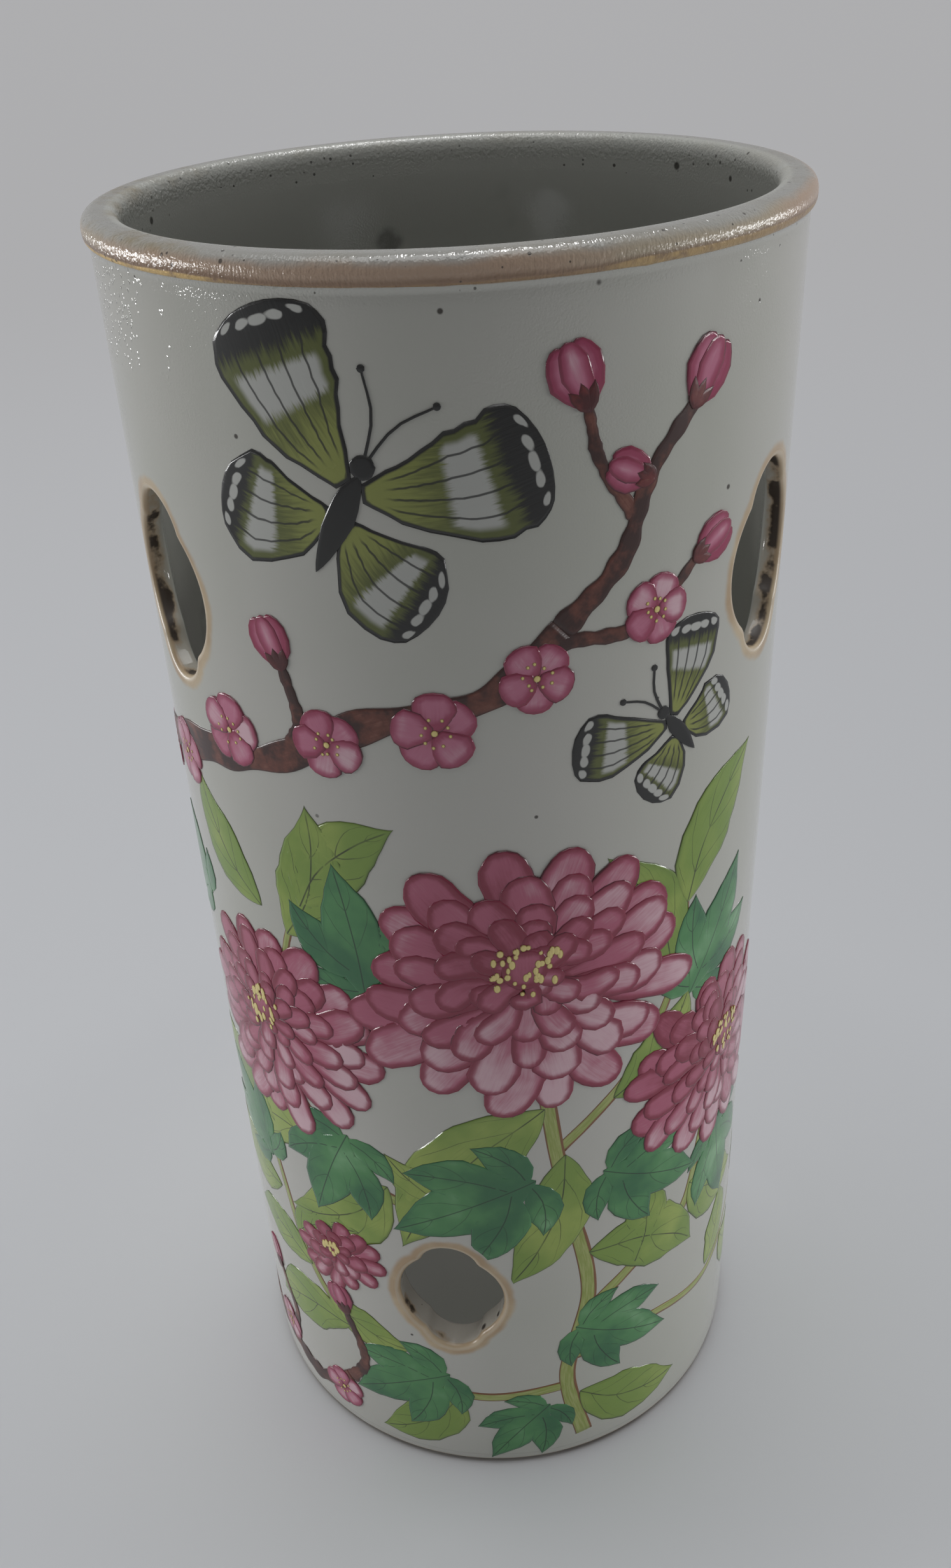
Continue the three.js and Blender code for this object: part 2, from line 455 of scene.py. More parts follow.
def glazeBase(paint, look):
    # Off-white that drifts a little greener, with iron specks that burnt through the glaze
    drift = paint.ramp(paint.noise(14.0, 3.0), 0.35, 0.7)
    paint.body = paint.blend(drift, look["body"], look["greener"])
    distance = paint.cells(110.0, "Distance")
    lottery = paint.parts(paint.cells(110.0, "Color"))
    size = 0.02 + 0.03 * lottery[1] ** 3.0
    return paint.ramp(distance / size, 1.25, 0.7) * paint.ramp(lottery[0], 0.72, 0.76) * 0.7


def placedSpots(paint, spots, depth, speck):
    # Adds the single spots: each is dark within its radius of its place
    for turn, height, radius in spots:
        spot = ontoAxis(outerRadius(height) - depth, math.radians(turn), height) * millimetre
        sockets = {0: paint.at, 1: tuple(spot)}
        away = paint.node("VectorMath", {"operation": "DISTANCE"}, sockets, "Value")
        speck = speck.most(paint.ramp(away / millimetre, radius * 1.15, radius * 0.55))
    return speck


def glazeRelief(paint, look, speck, wrinkles=0.0):
    # Millimetres: the wall was thrown by hand, so its gloss wanders, and the glaze has a fine
    # orange peel that is coarser near the rim. A speck is a small pit.
    x, y, z = paint.parts(paint.at)
    patchy = paint.ramp(z, 0.235, 0.26) * paint.ramp(paint.noise(38.0, 3.0), 0.42, 0.6)
    peel = paint.noise(2600.0, 1.0) * look["peel"] * (1.0 + look["coarser"] * patchy)
    # small beads of glaze, only just under the lip and at the left of the front
    pearls = paint.ramp(paint.cells(900.0, "Distance"), 0.4, 0.05) * look["pearls"]
    for measure, low, high in (
        (z, 0.257, 0.267), (z, 0.2784, 0.2774), (paint.noise(90.0, 3.0), 0.38, 0.5),
        (x, -0.042, -0.048), (y, -0.012, -0.021), (hypot(x, y), 0.059, 0.061),
    ):
        pearls = pearls * paint.ramp(measure, low, high)
    height = paint.noise(22.0, 1.0) * look["waviness"] + peel + pearls - speck * look["pit"]
    return paint.bump(height + wrinkles, millimetre)


def glazeRoughness(paint, look):
    return look["roughness"] + 0.08 * paint.ramp(paint.noise(60.0, 4.0), 0.5, 0.85)


# Wall
wallLook = {
    "thicknessFoot": 8.0,
    "thicknessThin": 3.4,
    "thicknessLip": 5.8,
    "swell": 23.0,  # how far below the lip the wall starts to thicken again
    "cove": 5.0,  # the clay worked into the corner with the floor
    "arris": 1.2,  # the rounding of the cut edges
    "denseStep": 1.05,  # between rows of vertices beside the openings
    "plainStep": 5.0,
    "denseMargin": 6.0,
    "warpReach": 14.0,  # from an opening, over which the inner face is turned to meet it
    "washWidth": 1.5,
    "wash": "998060",
    "washPale": "B19F82",
    # a painted highlight along the rounded edge of each opening
    "arrisHighlight": "B7AD9C",
    "burnt": "1D120D",
    "burntReach": 4.4,  # millimetres down the reveal
    # two burnt places in the lower reveal and two dark ones inside, placed like the spots
    "scorches": ((-4.4, 49.6, 1.0), (-0.6, 53.7, 0.8)),
    "smudges": ((-167.0, 262.0, 3.4), (-150.0, 250.0, 1.6)),
}


def wallThickness(z):
    # A straight taper up to the thinnest place, then a smooth step up to the lip's thickness
    look = wallLook
    thin, swellBase = look["thicknessThin"], lipBase - look["swell"]
    taper = look["thicknessFoot"] + (thin - look["thicknessFoot"]) * np.minimum(z / swellBase, 1)
    step = np.clip((z - swellBase) / look["swell"], 0, 1)
    return taper + (look["thicknessLip"] - thin) * step * step * (3 - 2 * step)


def wallRows(look):
    rows = [floorTop + look["cove"] * s ** 2 for s in np.linspace(0, 1, 6)]
    swellBase = lipBase - look["swell"]
    rows += list(np.arange(floorTop + look["cove"], swellBase, look["plainStep"])[1:])
    rows += list(np.linspace(swellBase, lipBase, 12)[:-1])
    for row in (openingRows["upper"], openingRows["lower"]):
        reach = row["up"] + look["denseMargin"]
        low, high = row["height"] - reach, row["height"] + reach
        rows = [z for z in rows if z < low - look["denseStep"] or z > high + look["denseStep"]]
        rows += list(np.arange(low, high, look["denseStep"]))
    return np.array(sorted(rows + [lipBase]))


def arrisRings(look):
    # From the outer face through the rounded edge and the reveal to the inner rounded edge: a
    # share of the wall's thickness and millimetres more, and how far the outline is let out
    rounding = [math.radians(a) for a in (15, 30, 45, 60, 75, 90)]
    arris = look["arris"]
    outer = [(0.0, arris * (1 - math.cos(a)), arris * (1 - math.sin(a))) for a in rounding]
    middle = [(s, arris * (1 - 2 * s), 0.0) for s in (0.33, 0.67)]
    inner = [(1.0, -depth, grow) for share, depth, grow in reversed(outer)]
    return outer + middle + inner


def innerFace(look, theta, z, gap, which):
    # The outer face's places taken through the wall: set in further in the cove, and turned a
    # little wider beside the openings, which are cut straight through
    radius = outerRadius(z)
    above = np.clip((z - floorTop) / look["cove"], 0, 1)
    innerRadius = radius - wallThickness(z) - look["cove"] * (1 - np.sqrt(above)) ** 2
    away = turnBetween(theta, np.array([o["turn"] for o in openings])[which])
    share = np.clip(1 - gap / look["warpReach"], 0, 1)
    share = share * share * (3 - 2 * share)
    across = np.clip(radius * np.sin(np.clip(away, -1.2, 1.2)) / innerRadius, -0.98, 0.98)
    return ontoAxis(innerRadius, theta + share * (np.arcsin(across) - away), z)


def revealRing(theta, z, which, share, more, grow):
    # Places moved onto the outline of their opening, let out by grow, and into the wall by a
    # share of its thickness and more. Returns them and how deep in the wall they lie.
    theta, z = theta.copy(), z.copy()
    for number, opening in enumerate(openings):
        mine = which == number
        across = outerRadius(z[mine]) * np.sin(turnBetween(theta[mine], opening["turn"]))
        across, up = ontoOutline(opening, across, z[mine] - opening["height"], grow)
        z[mine] = opening["height"] + up
        deep = share * wallThickness(z[mine]) + more
        theta[mine] = opening["turn"] + np.arcsin(across / (outerRadius(z[mine]) - deep))
    deep = share * wallThickness(z) + more
    return ontoAxis(outerRadius(z) - deep, theta, z), deep, wallThickness(z) - deep


def piercedWall(look, material):
    # Outer face: a grid of turn and height on a cone. Vertices inside an outline are pulled onto
    # it, faces wholly inside are left out. The inner face has the same grid one wall deeper, and
    # rings of vertices join the two round each opening.
    rows = wallRows(look)
    z, theta = (grid.ravel() for grid in np.meshgrid(rows, columnTurns, indexing="ij"))
    gap, which = openingField(theta, z, outerRadius(z), look["arris"])
    quads = gridQuads(len(rows), roundColumns, False, True)
    quads = quads[~(gap[quads] < 0).all(1)]
    theta, z = pulledOut(theta, z, outerRadius(z), look["arris"], gap, which)
    gap = np.maximum(gap, 0)
    total, thickness, nothing = len(z), wallThickness(z), np.zeros(len(z))
    places = [ontoAxis(outerRadius(z), theta, z), innerFace(look, theta, z, gap, which)]
    measures = {"depth": [nothing, thickness], "within": [thickness, nothing],
                "edge": [gap + look["arris"], gap + look["arris"]]}
    start, end = borderEdges(quads, total)
    atOpening = (start >= roundColumns) & (start < total - roundColumns)
    # at the foot and the top the two faces are joined straight across
    first, second = start[~atOpening], end[~atOpening]
    faces = [quads, (quads + total)[:, ::-1],
             np.stack([second, first, first + total, second + total], -1)]

    # Reveal: the vertices of the openings' borders go through the rings in turn
    border = np.unique(start[atOpening])
    first, second = np.searchsorted(border, [start[atOpening], end[atOpening]])
    chain = [border]
    for share, more, grow in arrisRings(look):
        ring, deep, left = revealRing(theta[border], z[border], which[border], share, more, grow)
        chain.append(sum(map(len, places)) + np.arange(len(border)))
        places.append(ring)
        for key, values in (("depth", deep), ("within", left), ("edge", 0 * deep + grow)):
            measures[key].append(values)
    chain.append(border + total)
    for near, far in zip(chain[:-1], chain[1:]):
        faces.append(np.stack([near[second], near[first], far[first], far[second]], -1))

    places = np.concatenate(places)
    attributes = {key: np.concatenate(values) for key, values in measures.items()}
    sharp = np.full(len(places), -1)
    for ring, begin in enumerate((0, total - roundColumns, total, 2 * total - roundColumns)):
        sharp[begin:begin + roundColumns] = ring
    return buildMesh("glazed_wall", places, np.concatenate(faces), material, attributes, sharp)


def wallGlaze(look):
    paint = Paint("wallGlaze", IOR=1.5)
    speck = placedSpots(paint, glazeLook["spots"], 0.0, glazeBase(paint, glazeLook))
    edge, depth, within = (paint.attribute(name) for name in ("edge", "depth", "within"))
    ragged = paint.noise(190.0, 3.0)
    # tan wash brushed round each opening, thinning outwards, with a painted highlight, a pale line,
    # at the arris
    outside = paint.ramp(depth, 1.5, 0.7)
    spread = edge + (ragged - 0.5) * 1.5 + (paint.noise(30.0, 1.0) - 0.5) * 1.6
    wash = paint.ramp(spread, look["washWidth"] + 1.7, look["washWidth"] + 0.3)
    uneven = paint.ramp(paint.noise(80.0, 3.0), 0.35, 0.7)
    paint.over(wash * outside * 0.9, paint.blend(uneven, look["wash"], look["washPale"]))
    arris = paint.ramp(abs(edge - 0.75 + (ragged - 0.5) * 0.5), 0.5, 0.15) * outside
    paint.over(arris * 0.45, look["arrisHighlight"])
    # iron burnt brown in patches on the reveals, along the outer arris, each in a paler halo
    reveal = paint.ramp(depth, 0.5, 1.1) * paint.ramp(within, 0.0, 0.9)
    outermost = paint.ramp(depth, look["burntReach"], 1.7)
    z = paint.parts(paint.at)[2]
    high = paint.ramp(z, 0.1, 0.2)  # the upper openings burnt more
    cloud = paint.noise(125.0, 4.0, 0.58) + (outermost - 1.0) * 0.26 + (high - 1.0) * 0.09
    paint.over(reveal * (0.2 + 0.5 * paint.ramp(cloud, 0.36, 0.52)), look["wash"])
    patches = placedSpots(paint, look["scorches"], 2.3, paint.ramp(cloud, 0.47, 0.55))
    paint.over(reveal * patches * 0.93, look["burnt"])
    # inside, painted light, paler towards the rim; and a few smudges lie under the glaze
    inside = paint.ramp(within, 0.6, 0.2)
    paint.over(inside * paint.ramp(z, 0.19, 0.25) * 0.9, glazeLook["pooledBrownAndLitPale"])
    smudge = paint.ramp(paint.noise(34.0, 3.0), 0.66, 0.8) * inside
    smudge = placedSpots(paint, look["smudges"], 4.6, smudge) * paint.ramp(ragged, 0.3, 0.62)
    paint.over(smudge * 0.5, look["burnt"])
    paint.over(speck * 0.9, glazeLook["speck"])
    arrisMatt = paint.ramp(edge, 1.7, 1.2) * paint.ramp(depth, 2.4, 1.0)
    roughness = glazeRoughness(paint, glazeLook) + 0.25 * reveal * patches + 0.22 * arrisMatt
    return paint.set(Base_Color=paint.body, Roughness=roughness,
                     Normal=glazeRelief(paint, glazeLook, speck))


wall = piercedWall(wallLook, wallGlaze(wallLook))
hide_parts("wall")
print("wall made:", len(wall.data.polygons), "faces")


# Lip
lipLook = {
    "land": 1.6,
    "innerRound": 2.4,
    "innerDrop": 3.4,
    "beadHeight": 2.6,
    "beadUnderside": 4.4,
    "bandTop": (0.35, 1.9),  # below the top of the lip: where the brown starts and is full
    "bandBottom": 4.35,
    "goldTop": (2.7, 3.7),
    "bare": "9D9C97",  # painted shade: a darker grey on the land and the rounds
    "tan": "A38B77",
    "thinTan": "A29682",
    "brown": "6B5039",
    "gold": "CDB077",
    "stain": "857758",
    "wrinkles": 0.09,  # millimetres of relief in the gloss of the edge, as the grain is
    "grain": 0.12,
}
lipRelief = {"waviness": 0.27, "peel": 0.03, "coarser": 1.5, "pearls": 0.18, "pit": 0.03}


def lipProfile(look):
    outside = outerRadius(lipBase)
    inside = outside - wallThickness(lipBase)
    landInside = inside + look["innerRound"]
    landOutside = landInside + look["land"]
    beadLow = (outside, standTop - look["beadUnderside"])
    beadMiddle = (lipWidest, standTop - look["beadHeight"])
    innerEnd = (inside, standTop - look["innerDrop"])
    return [
        (inside, lipBase), (outside, lipBase), (outside, beadLow[1] - 1.2), beadLow,
        *quadraticCurve(beadLow, (lipWidest, beadLow[1]), beadMiddle, 8),
        *quadraticCurve(beadMiddle, (lipWidest, standTop), (landOutside, standTop), 12),
        (landInside, standTop),
        *quadraticCurve((landInside, standTop), (inside, standTop), innerEnd, 12),
    ]


def lipGlaze(look):
    paint = Paint("lipGlaze", IOR=1.5)
    speck = glazeBase(paint, glazeLook)
    x, y, z = paint.parts(paint.at)
    drop = standTop - z / millimetre
    out = hypot(x, y) / millimetre
    ragged = paint.noise(120.0, 3.0) - 0.5
    outer = paint.ramp(out, lipWidest - 2.6, lipWidest - 1.4)
    # more iron spots than on the wall, where the glaze ran thin over the edge, and faint stains
    # painted shade: the land and the tops of the rounds are laid darker
    paint.over(paint.ramp(drop, 5.5, 3.0), look["bare"])
    # painted light: the inner round and the inside below it are laid paler
    inward = paint.ramp(out, lipWidest - 3.6, lipWidest - 5.2)
    paint.over(inward * 0.9, glazeLook["pooledBrownAndLitPale"])
    lottery = paint.parts(paint.cells(520.0, "Color"))
    size = 0.09 + 0.12 * lottery[1] ** 2.0
    many = paint.ramp(paint.cells(520.0, "Distance") / size, 1.2, 0.6)
    many = many * paint.ramp(lottery[0], 0.5, 0.54)
    speck = placedSpots(paint, glazeLook["lipSpots"], -0.4, speck)
    speck = placedSpots(paint, glazeLook["innerSpots"], wallThickness(lipBase), speck)
    stain = paint.ramp(paint.noise(60.0, 4.0, 0.6), 0.46, 0.66) * paint.ramp(drop, 3.0, 0.5)
    paint.over(stain * (0.15 + 0.65 * paint.ramp(x, -0.02, -0.05)), look["stain"])
    # the brown edge: thin where it starts on the round, thick and darker where it pooled below
    start, full = look["bandTop"]
    below = paint.ramp(drop - look["bandBottom"] - ragged * 0.7, 0.12, -0.12)
    reached = drop + ragged * 1.6 + paint.ramp(x, 0.044, 0.056)
    thick = paint.ramp(reached, start, full) * outer * below
    thin = paint.ramp(abs(x + 0.018) + ragged * 0.02, 0.03, 0.048) * paint.ramp(x, 0.056, 0.046)
    paint.over(thick * 0.92, paint.blend(thin, look["tan"], look["thinTan"]))
    start, full = look["goldTop"]
    front = paint.ramp(abs(x + 0.004), 0.036, 0.02) * paint.ramp(y, 0.0, -0.02)  # worn to brown
    reached = drop + ragged * 0.6 + (1.0 - front) * 0.5
    pooledBrownAndLitPale = paint.ramp(reached, start, full) * outer * below
    paint.over(pooledBrownAndLitPale * 0.75, look["brown"])
    worn = paint.noise(330.0, 4.0, 0.6) + paint.noise(24.0) * 0.5
    low = reached + paint.ramp(x, 0.0, 0.03) * 0.45
    gilt = pooledBrownAndLitPale * paint.ramp(worn, 1.02, 0.72) * paint.ramp(low, start + 1.15, full + 0.5)
    gilt = gilt * (1.0 - 0.85 * front) * paint.ramp(x, 0.0, 0.055, 1.0, 0.3)
    paint.over(gilt * 0.85, look["gold"])
    paint.over(many * 0.8, glazeLook["speck"])
    paint.over(speck * 0.85, glazeLook["speck"])
    # the gloss of the edge lies in fine wrinkles that run across it
    reach = out * millimetre
    wrapped = paint.vector(x / reach * 150.0, y / reach * 150.0, drop * 0.6)
    wrinkles = (paint.noise(1.0, at=wrapped) - 0.5) * look["wrinkles"]
    grain = (paint.noise(1400.0, 1.0) - 0.5) * paint.ramp(x, -0.03, -0.055, 1.0, 1.9)
    wrinkles = (wrinkles + grain * look["grain"]) * paint.ramp(drop, 4.8, 4.2)
    roughness = glazeRoughness(paint, glazeLook) + 0.14 * thick + 0.2 * gilt + 0.16 * inward
    return paint.set(Base_Color=paint.body, Roughness=roughness, Metallic=gilt * 0.5,
                     Normal=glazeRelief(paint, lipRelief, speck + many, wrinkles))


lip = turnedPiece("glazed_lip", lipProfile(lipLook), [0, 1], lipGlaze(lipLook))
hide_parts("lip")
print("lip made")


# Floor slab and foot ring
baseLook = {
    "edgeRound": 0.2,
    "ringWidth": 6.5,
    "ringBevel": 2.0,
    "clay": "8F8579",
    "clayBurnt": "6B5C4C",
    "grain": 0.06,
}


def plainGlaze():
    paint = Paint("floorGlaze", IOR=1.5)
    speck = glazeBase(paint, glazeLook)
    paint.over(speck * 0.85, glazeLook["speck"])
    return paint.set(Base_Color=paint.body, Roughness=glazeRoughness(paint, glazeLook),
                     Normal=glazeRelief(paint, glazeLook, speck))


def bareClay(look):
    # Glaze runs down the ring's outside and stops just above the bevel; below it the clay is bare
    paint = Paint("bareClay", IOR=1.45)
    glazeBase(paint, glazeLook)
    x, y, z = paint.parts(paint.at)
    out = hypot(x, y) / millimetre
    low = z / millimetre + (paint.noise(70.0, 3.0) - 0.5) * 0.8
    bare = paint.ramp(low, look["ringBevel"] + 0.5, look["ringBevel"] - 0.1)
    bare = bare.most(paint.ramp(out, footOutside - 0.6, footOutside - 0.9))
    burnt = paint.ramp(paint.noise(45.0, 4.0), 0.42, 0.68)
    paint.over(bare, paint.blend(burnt, look["clay"], look["clayBurnt"]))
    grain = paint.noise(1500.0, 3.0, 0.7) * bare
    return paint.set(Base_Color=paint.body, Roughness=0.12 + 0.6 * bare,
                     Normal=paint.bump(grain, look["grain"] * millimetre, 0.6))


def slabProfile(look):
    low = (wallFootRadius - look["edgeRound"], footTop)
    corner = (outerRadius(footTop), footTop)
    high = (outerRadius(footTop + look["edgeRound"]), footTop + look["edgeRound"])
    return [(0, footTop), low, *quadraticCurve(low, corner, high, 6),
            (wallFootRadius, floorTop - 1.0), (wallFootRadius, floorTop), (0, floorTop)]


def ringProfile(look):
    outside, bevel = footOutside, look["ringBevel"]
    inside = outside - look["ringWidth"]
    return [(inside, bevel), (inside + bevel, 0), (outside - bevel, 0), (outside, bevel),
            (outerRadius(footTop) - 0.05, footTop), (inside, footTop)]


floorSlab = turnedPiece("glazed_floor", slabProfile(baseLook), [1, 9], plainGlaze())
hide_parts("floor_slab")
footRing = turnedPiece("bare_foot_ring", ringProfile(baseLook), range(6), bareClay(baseLook))
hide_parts("foot_ring")
glazedPieces = [wall, lip, floorSlab]  # the enamels join them as they are painted
print("floor and foot made")


# Painting: enamels laid over the glaze, standing a little proud of it. Its places are (across,
# up) in millimetres: round the wall from the front line, and above the foot.
painting = {
    "radius": 61.5,
    "sunk": 0.35,  # how far each patch of enamel reaches into the wall
    "clearOfOpening": 3.3,  # the painter stops at the wash round an opening
    "rimDrop": 0.01,  # how much lower a patch is at its rim
}


def onPainting(turn, height):
    # turn in degrees round the wall, positive to the viewer's right
    return np.array([math.radians(turn) * painting["radius"], height], float)


def heading(degrees):
    # Unit direction on the painting, anticlockwise from the viewer's right
    return np.array([math.cos(math.radians(degrees)), math.sin(math.radians(degrees))])


def throughPoints(points, shares):
    # A curve through the points: between two neighbours it is the cubic that passes both, with
    # slopes along the line between the points on either side. shares run from 0 to 1.
    p = np.asarray(points, float)
    p = np.vstack([2 * p[0] - p[1], p, 2 * p[-1] - p[-2]])
    t = np.asarray(shares) * (len(p) - 3)
    span = np.minimum(t.astype(int), len(p) - 4)
    f = (t - span)[:, None]
    a, b, c, d = (p[span + k] for k in range(4))
    return 0.5 * (2 * b + (c - a) * f + (2 * a - 5 * b + 4 * c - d) * f ** 2
                  + (3 * b - a - 3 * c + d) * f ** 3)


class EnamelSheet:
    # Gathers brush strokes, then makes them one mesh that lies on the wall
    def __init__(self):
        self.parts = {"flat": [], "lift": [], "brush": [], "shares": [], "tone": []}
        self.quads = []
        self.count = 0

    def stroke(self, points, halfWidth, lift, dome=0.02, tone=0.5, step=1.5, even=False):
        # Rows along the path through points and columns across it. Each place is the path's,
        # moved sideways by the half width times the column's share. It is lifted by
        # lift + dome x (1 - share^2). halfWidth turns shares along the path into millimetres.
        points = np.asarray(points, float)
        length = np.hypot(*np.diff(points, axis=0).T).sum()
        rows = int(max(9, min(80, length / step)))
        v = np.linspace(0, 1, rows) if even else (1 - np.cos(np.linspace(0, math.pi, rows))) / 2
        u = np.array([-1, -0.92, -0.7, -0.4, 0, 0.4, 0.7, 0.92, 1])
        path = throughPoints(points, v)
        ahead = throughPoints(points, np.minimum(v + 0.01, 1))
        ahead = ahead - throughPoints(points, np.maximum(v - 0.01, 0))
        ahead /= np.maximum(np.hypot(ahead[:, 0], ahead[:, 1]), 1e-9)[:, None]
        sideways = np.stack([ahead[:, 1], -ahead[:, 0]], -1)
        half = np.maximum(halfWidth(v), 0.03)[:, None]
        # the brush shook: each side wanders by a few hundredths of the width, in its own way
        shake = v[:, None] * 15 + np.sign(u) * 1.9 + points[0].sum() * 3.1
        side = half * u * (1 + 0.045 * np.sin(shake) + 0.025 * np.sin(shake * 2.7))
        flat = path[:, None] + sideways[:, None] * side[..., None]
        along = np.concatenate([[0], np.cumsum(np.hypot(*np.diff(path, axis=0).T))])
        along = along[:, None] + 0 * side
        toEnd = np.minimum(along, along[-1:] - along) + half.min()
        rim = np.minimum(half * (1 - abs(u)), toEnd)
        height = lift + dome * (1 - u ** 2) * np.minimum(half / 2, 1)
        height = height - painting["rimDrop"] * (1 - np.clip(rim / 0.4, 0, 1)) ** 2
        self.parts["flat"].append(flat.reshape(-1, 2))
        self.parts["lift"].append(height.ravel())
        self.parts["brush"].append(np.stack([rim, side, along], -1).reshape(-1, 3))
        shares = np.stack(np.broadcast_arrays(u[None, :], v[:, None], along[-1:]), -1)
        self.parts["shares"].append(shares.reshape(-1, 3))
        self.parts["tone"].append(np.full(side.size, tone))
        self.quads.append(gridQuads(rows, len(u), False, False) + self.count)
        self.count += side.size

    def dot(self, centre, radius, lift, tone=0.5, drawn=1.0):
        # drawn: how much longer than wide, up the wall
        centre = np.asarray(centre, float)
        reach = np.array([0, radius * drawn])
        self.stroke([centre - reach, centre, centre + reach],
                    lambda v: radius * np.sqrt(np.clip(1 - (2 * v - 1) ** 2, 0, 1)),
                    lift, tone=tone)

    def onWall(self, name, material):
        # The sheet of quads gets a back inside the wall and sides along its rims, so every patch
        # is a closed solid. What would cover an opening is left out.
        parts = {key: np.concatenate(values) for key, values in self.parts.items()}
        quads = np.concatenate(self.quads)
        theta, z = parts["flat"][:, 0] / painting["radius"], parts["flat"][:, 1].copy()
        clear = painting["clearOfOpening"]
        gap, which = openingField(theta, z, outerRadius(z), clear)
        quads = quads[~(gap[quads] < 0).all(1)]
        theta, z = pulledOut(theta, z, outerRadius(z), clear, gap, which)
        front = ontoAxis(outerRadius(z) + parts["lift"], theta, z)
        back = ontoAxis(outerRadius(z) - painting["sunk"], theta, z)
        total = len(front)
        start, end = borderEdges(quads, total)
        sides = np.stack([end, start, start + total, end + total], -1)
        faces = np.concatenate([quads, (quads + total)[:, ::-1], sides])
        attributes = {key: np.concatenate([parts[key], parts[key]])
                      for key in ("brush", "shares", "tone")}
        piece = buildMesh(name, np.concatenate([front, back]), faces, material, attributes)
        glazedPieces.append(piece)
        print(name, "painted:", len(piece.data.polygons), "faces")


# Half widths along a stroke
def petalWidth(width, tip=0.72, neck=0.34):
    # Widens smoothly from a narrow neck, then closes in a round tip
    def half(v):
        body = neck + (1 - neck) * np.sin(np.clip(v / tip, 0, 1) * math.pi / 2)
        end = np.sqrt(np.clip(1 - (np.clip(v - tip, 0, 1) / (1 - tip)) ** 2, 0, 1))
        return width / 2 * body * end
    return half


def leafWidth(width, belly=0.42, point=1.2):
    # Zero at both ends, widest at belly, drawn out to a point
    def half(v):
        rise = np.sin(np.clip(v / belly, 0, 1) * math.pi / 2) ** 0.8
        fall = np.sin(np.clip((1 - v) / (1 - belly), 0, 1) * math.pi / 2) ** point
        return width / 2 * np.where(v < belly, rise, fall)
    return half


def taper(first, last, knots=0.0):
    # From first to last, swelling where a branch has its knots
    def half(v):
        swelling = 1 + knots * np.sin(v * 37.0) * np.sin(v * 15.0 + 1.0)
        return (first + (last - first) * v) / 2 * swelling
    return half


# What the brush left: the shader's measures of a stroke, in millimetres or as shares
class Enamel(Paint):
    def __init__(self, name, ior=1.5):
        super().__init__(name, IOR=ior)
        self.rim, self.side, self.along = self.parts(self.attribute("brush", "Vector"))
        self.across, self.onward, self.length = self.parts(self.attribute("shares", "Vector"))
        self.tone = self.attribute("tone")
        self.half = self.rim + abs(self.side)
        lengthways = self.vector(self.side * 2.2, self.along * 0.16, self.tone * 91.0)
        self.hairs = self.noise(1.0, 3.0, 0.6, lengthways)

    def fired(self, look):
        # Thick glassy enamel: pooled towards the middle, rounded at its rim, streaked by the brush
        pool = self.ramp(self.rim, 0.0, 0.6)
        relief = pool * 0.05 + self.hairs * 0.025 + self.noise(420.0) * 0.02
        rough = look["roughness"] + 0.12 * self.ramp(self.noise(120.0, 3.0), 0.45, 0.8)
        return self.set(Base_Color=self.body, Roughness=rough,
                        Normal=self.bump(relief, millimetre))


# Stems
stemLook = {
    "green": "7E8A42",
    "pale": "969D63",
    "line": "65281C",
    "roughness": 0.16,
    "lift": 0.03,
    "apart": 0.004,  # each stem lies a little lower than the one before
    "dome": 0.02,
    "tones": (0.1, 0.13),  # the first stem's tone, and how much each one after it adds
    "step": 1.2,
    "paths": (
        # first and last width, swelling, then turn and height of the points it runs through
        (4.4, 3.4, 0.0, (18, 8), (14, 32), (19, 60), (14, 92), (10, 124)),
        (3.6, 2.8, 0.0, (18, 52), (30, 62), (44, 70), (50, 92)),
        (3.6, 2.8, 0.0, (17, 78), (0, 86), (-24, 92), (-42, 112)),
        (3.2, 2.2, 0.0, (16, 38), (34, 40), (58, 36), (82, 50)),
        (3.2, 2.2, 0.0, (15, 28), (-8, 27), (-30, 36), (-46, 54), (-54, 84)),
        (3.0, 2.0, 0.0, (13, 106), (28, 122), (38, 142), (40, 166)),
        (2.8, 1.8, 0.0, (-30, 93), (-36, 82), (-37, 70)),
        (2.6, 1.8, 0.0, (-46, 120), (-40, 148), (-34, 168)),
    ),
}


def drawStalks(sheet, look):
    tone, moreTone = look["tones"]
    for number, (first, last, knots, *points) in enumerate(look["paths"]):
        sheet.stroke([onPainting(*p) for p in points], taper(first, last, knots),
                     look["lift"] - look["apart"] * number, look["dome"],
                     tone + moreTone * number, look["step"], True)


def stemEnamel(look):
    paint = Enamel("stemEnamel")
    paint.body = paint.blend(paint.ramp(paint.hairs, 0.35, 0.7), look["green"], look["pale"])
    uneven = paint.noise(140.0)
    # an iron-red line down both sides, stronger on one
    strong = paint.ramp(paint.side, -0.2, 0.4)
    width = 0.26 + 0.3 * strong * uneven * 2.0
    line = paint.ramp(paint.rim - width, 0.12, -0.08)
    paint.over(line * 0.85, look["line"])
    return paint.fired(look)


stems = EnamelSheet()
drawStalks(stems, stemLook)
stems.onWall("stem_enamel", stemEnamel(stemLook))


# Leaves
def veins(paint, count, slant, width):
    # A midrib, and side veins that leave it in pairs and bend towards the tip
    midrib = paint.ramp(abs(paint.side), width * 1.15, width * 0.4)
    midrib = midrib * paint.ramp(paint.onward, 0.97, 0.9)
    phase = paint.onward * count - abs(paint.across) ** 1.3 * slant + paint.tone * 3.0
    away = abs(phase.fraction() - 0.5) / count * paint.length * 0.75
    inner = paint.ramp(abs(paint.across), 0.93, 0.8) * paint.ramp(paint.onward, 0.06, 0.14)
    side = paint.ramp(away, width, width * 0.3) * inner * paint.ramp(paint.onward, 0.95, 0.85)
    return midrib, side


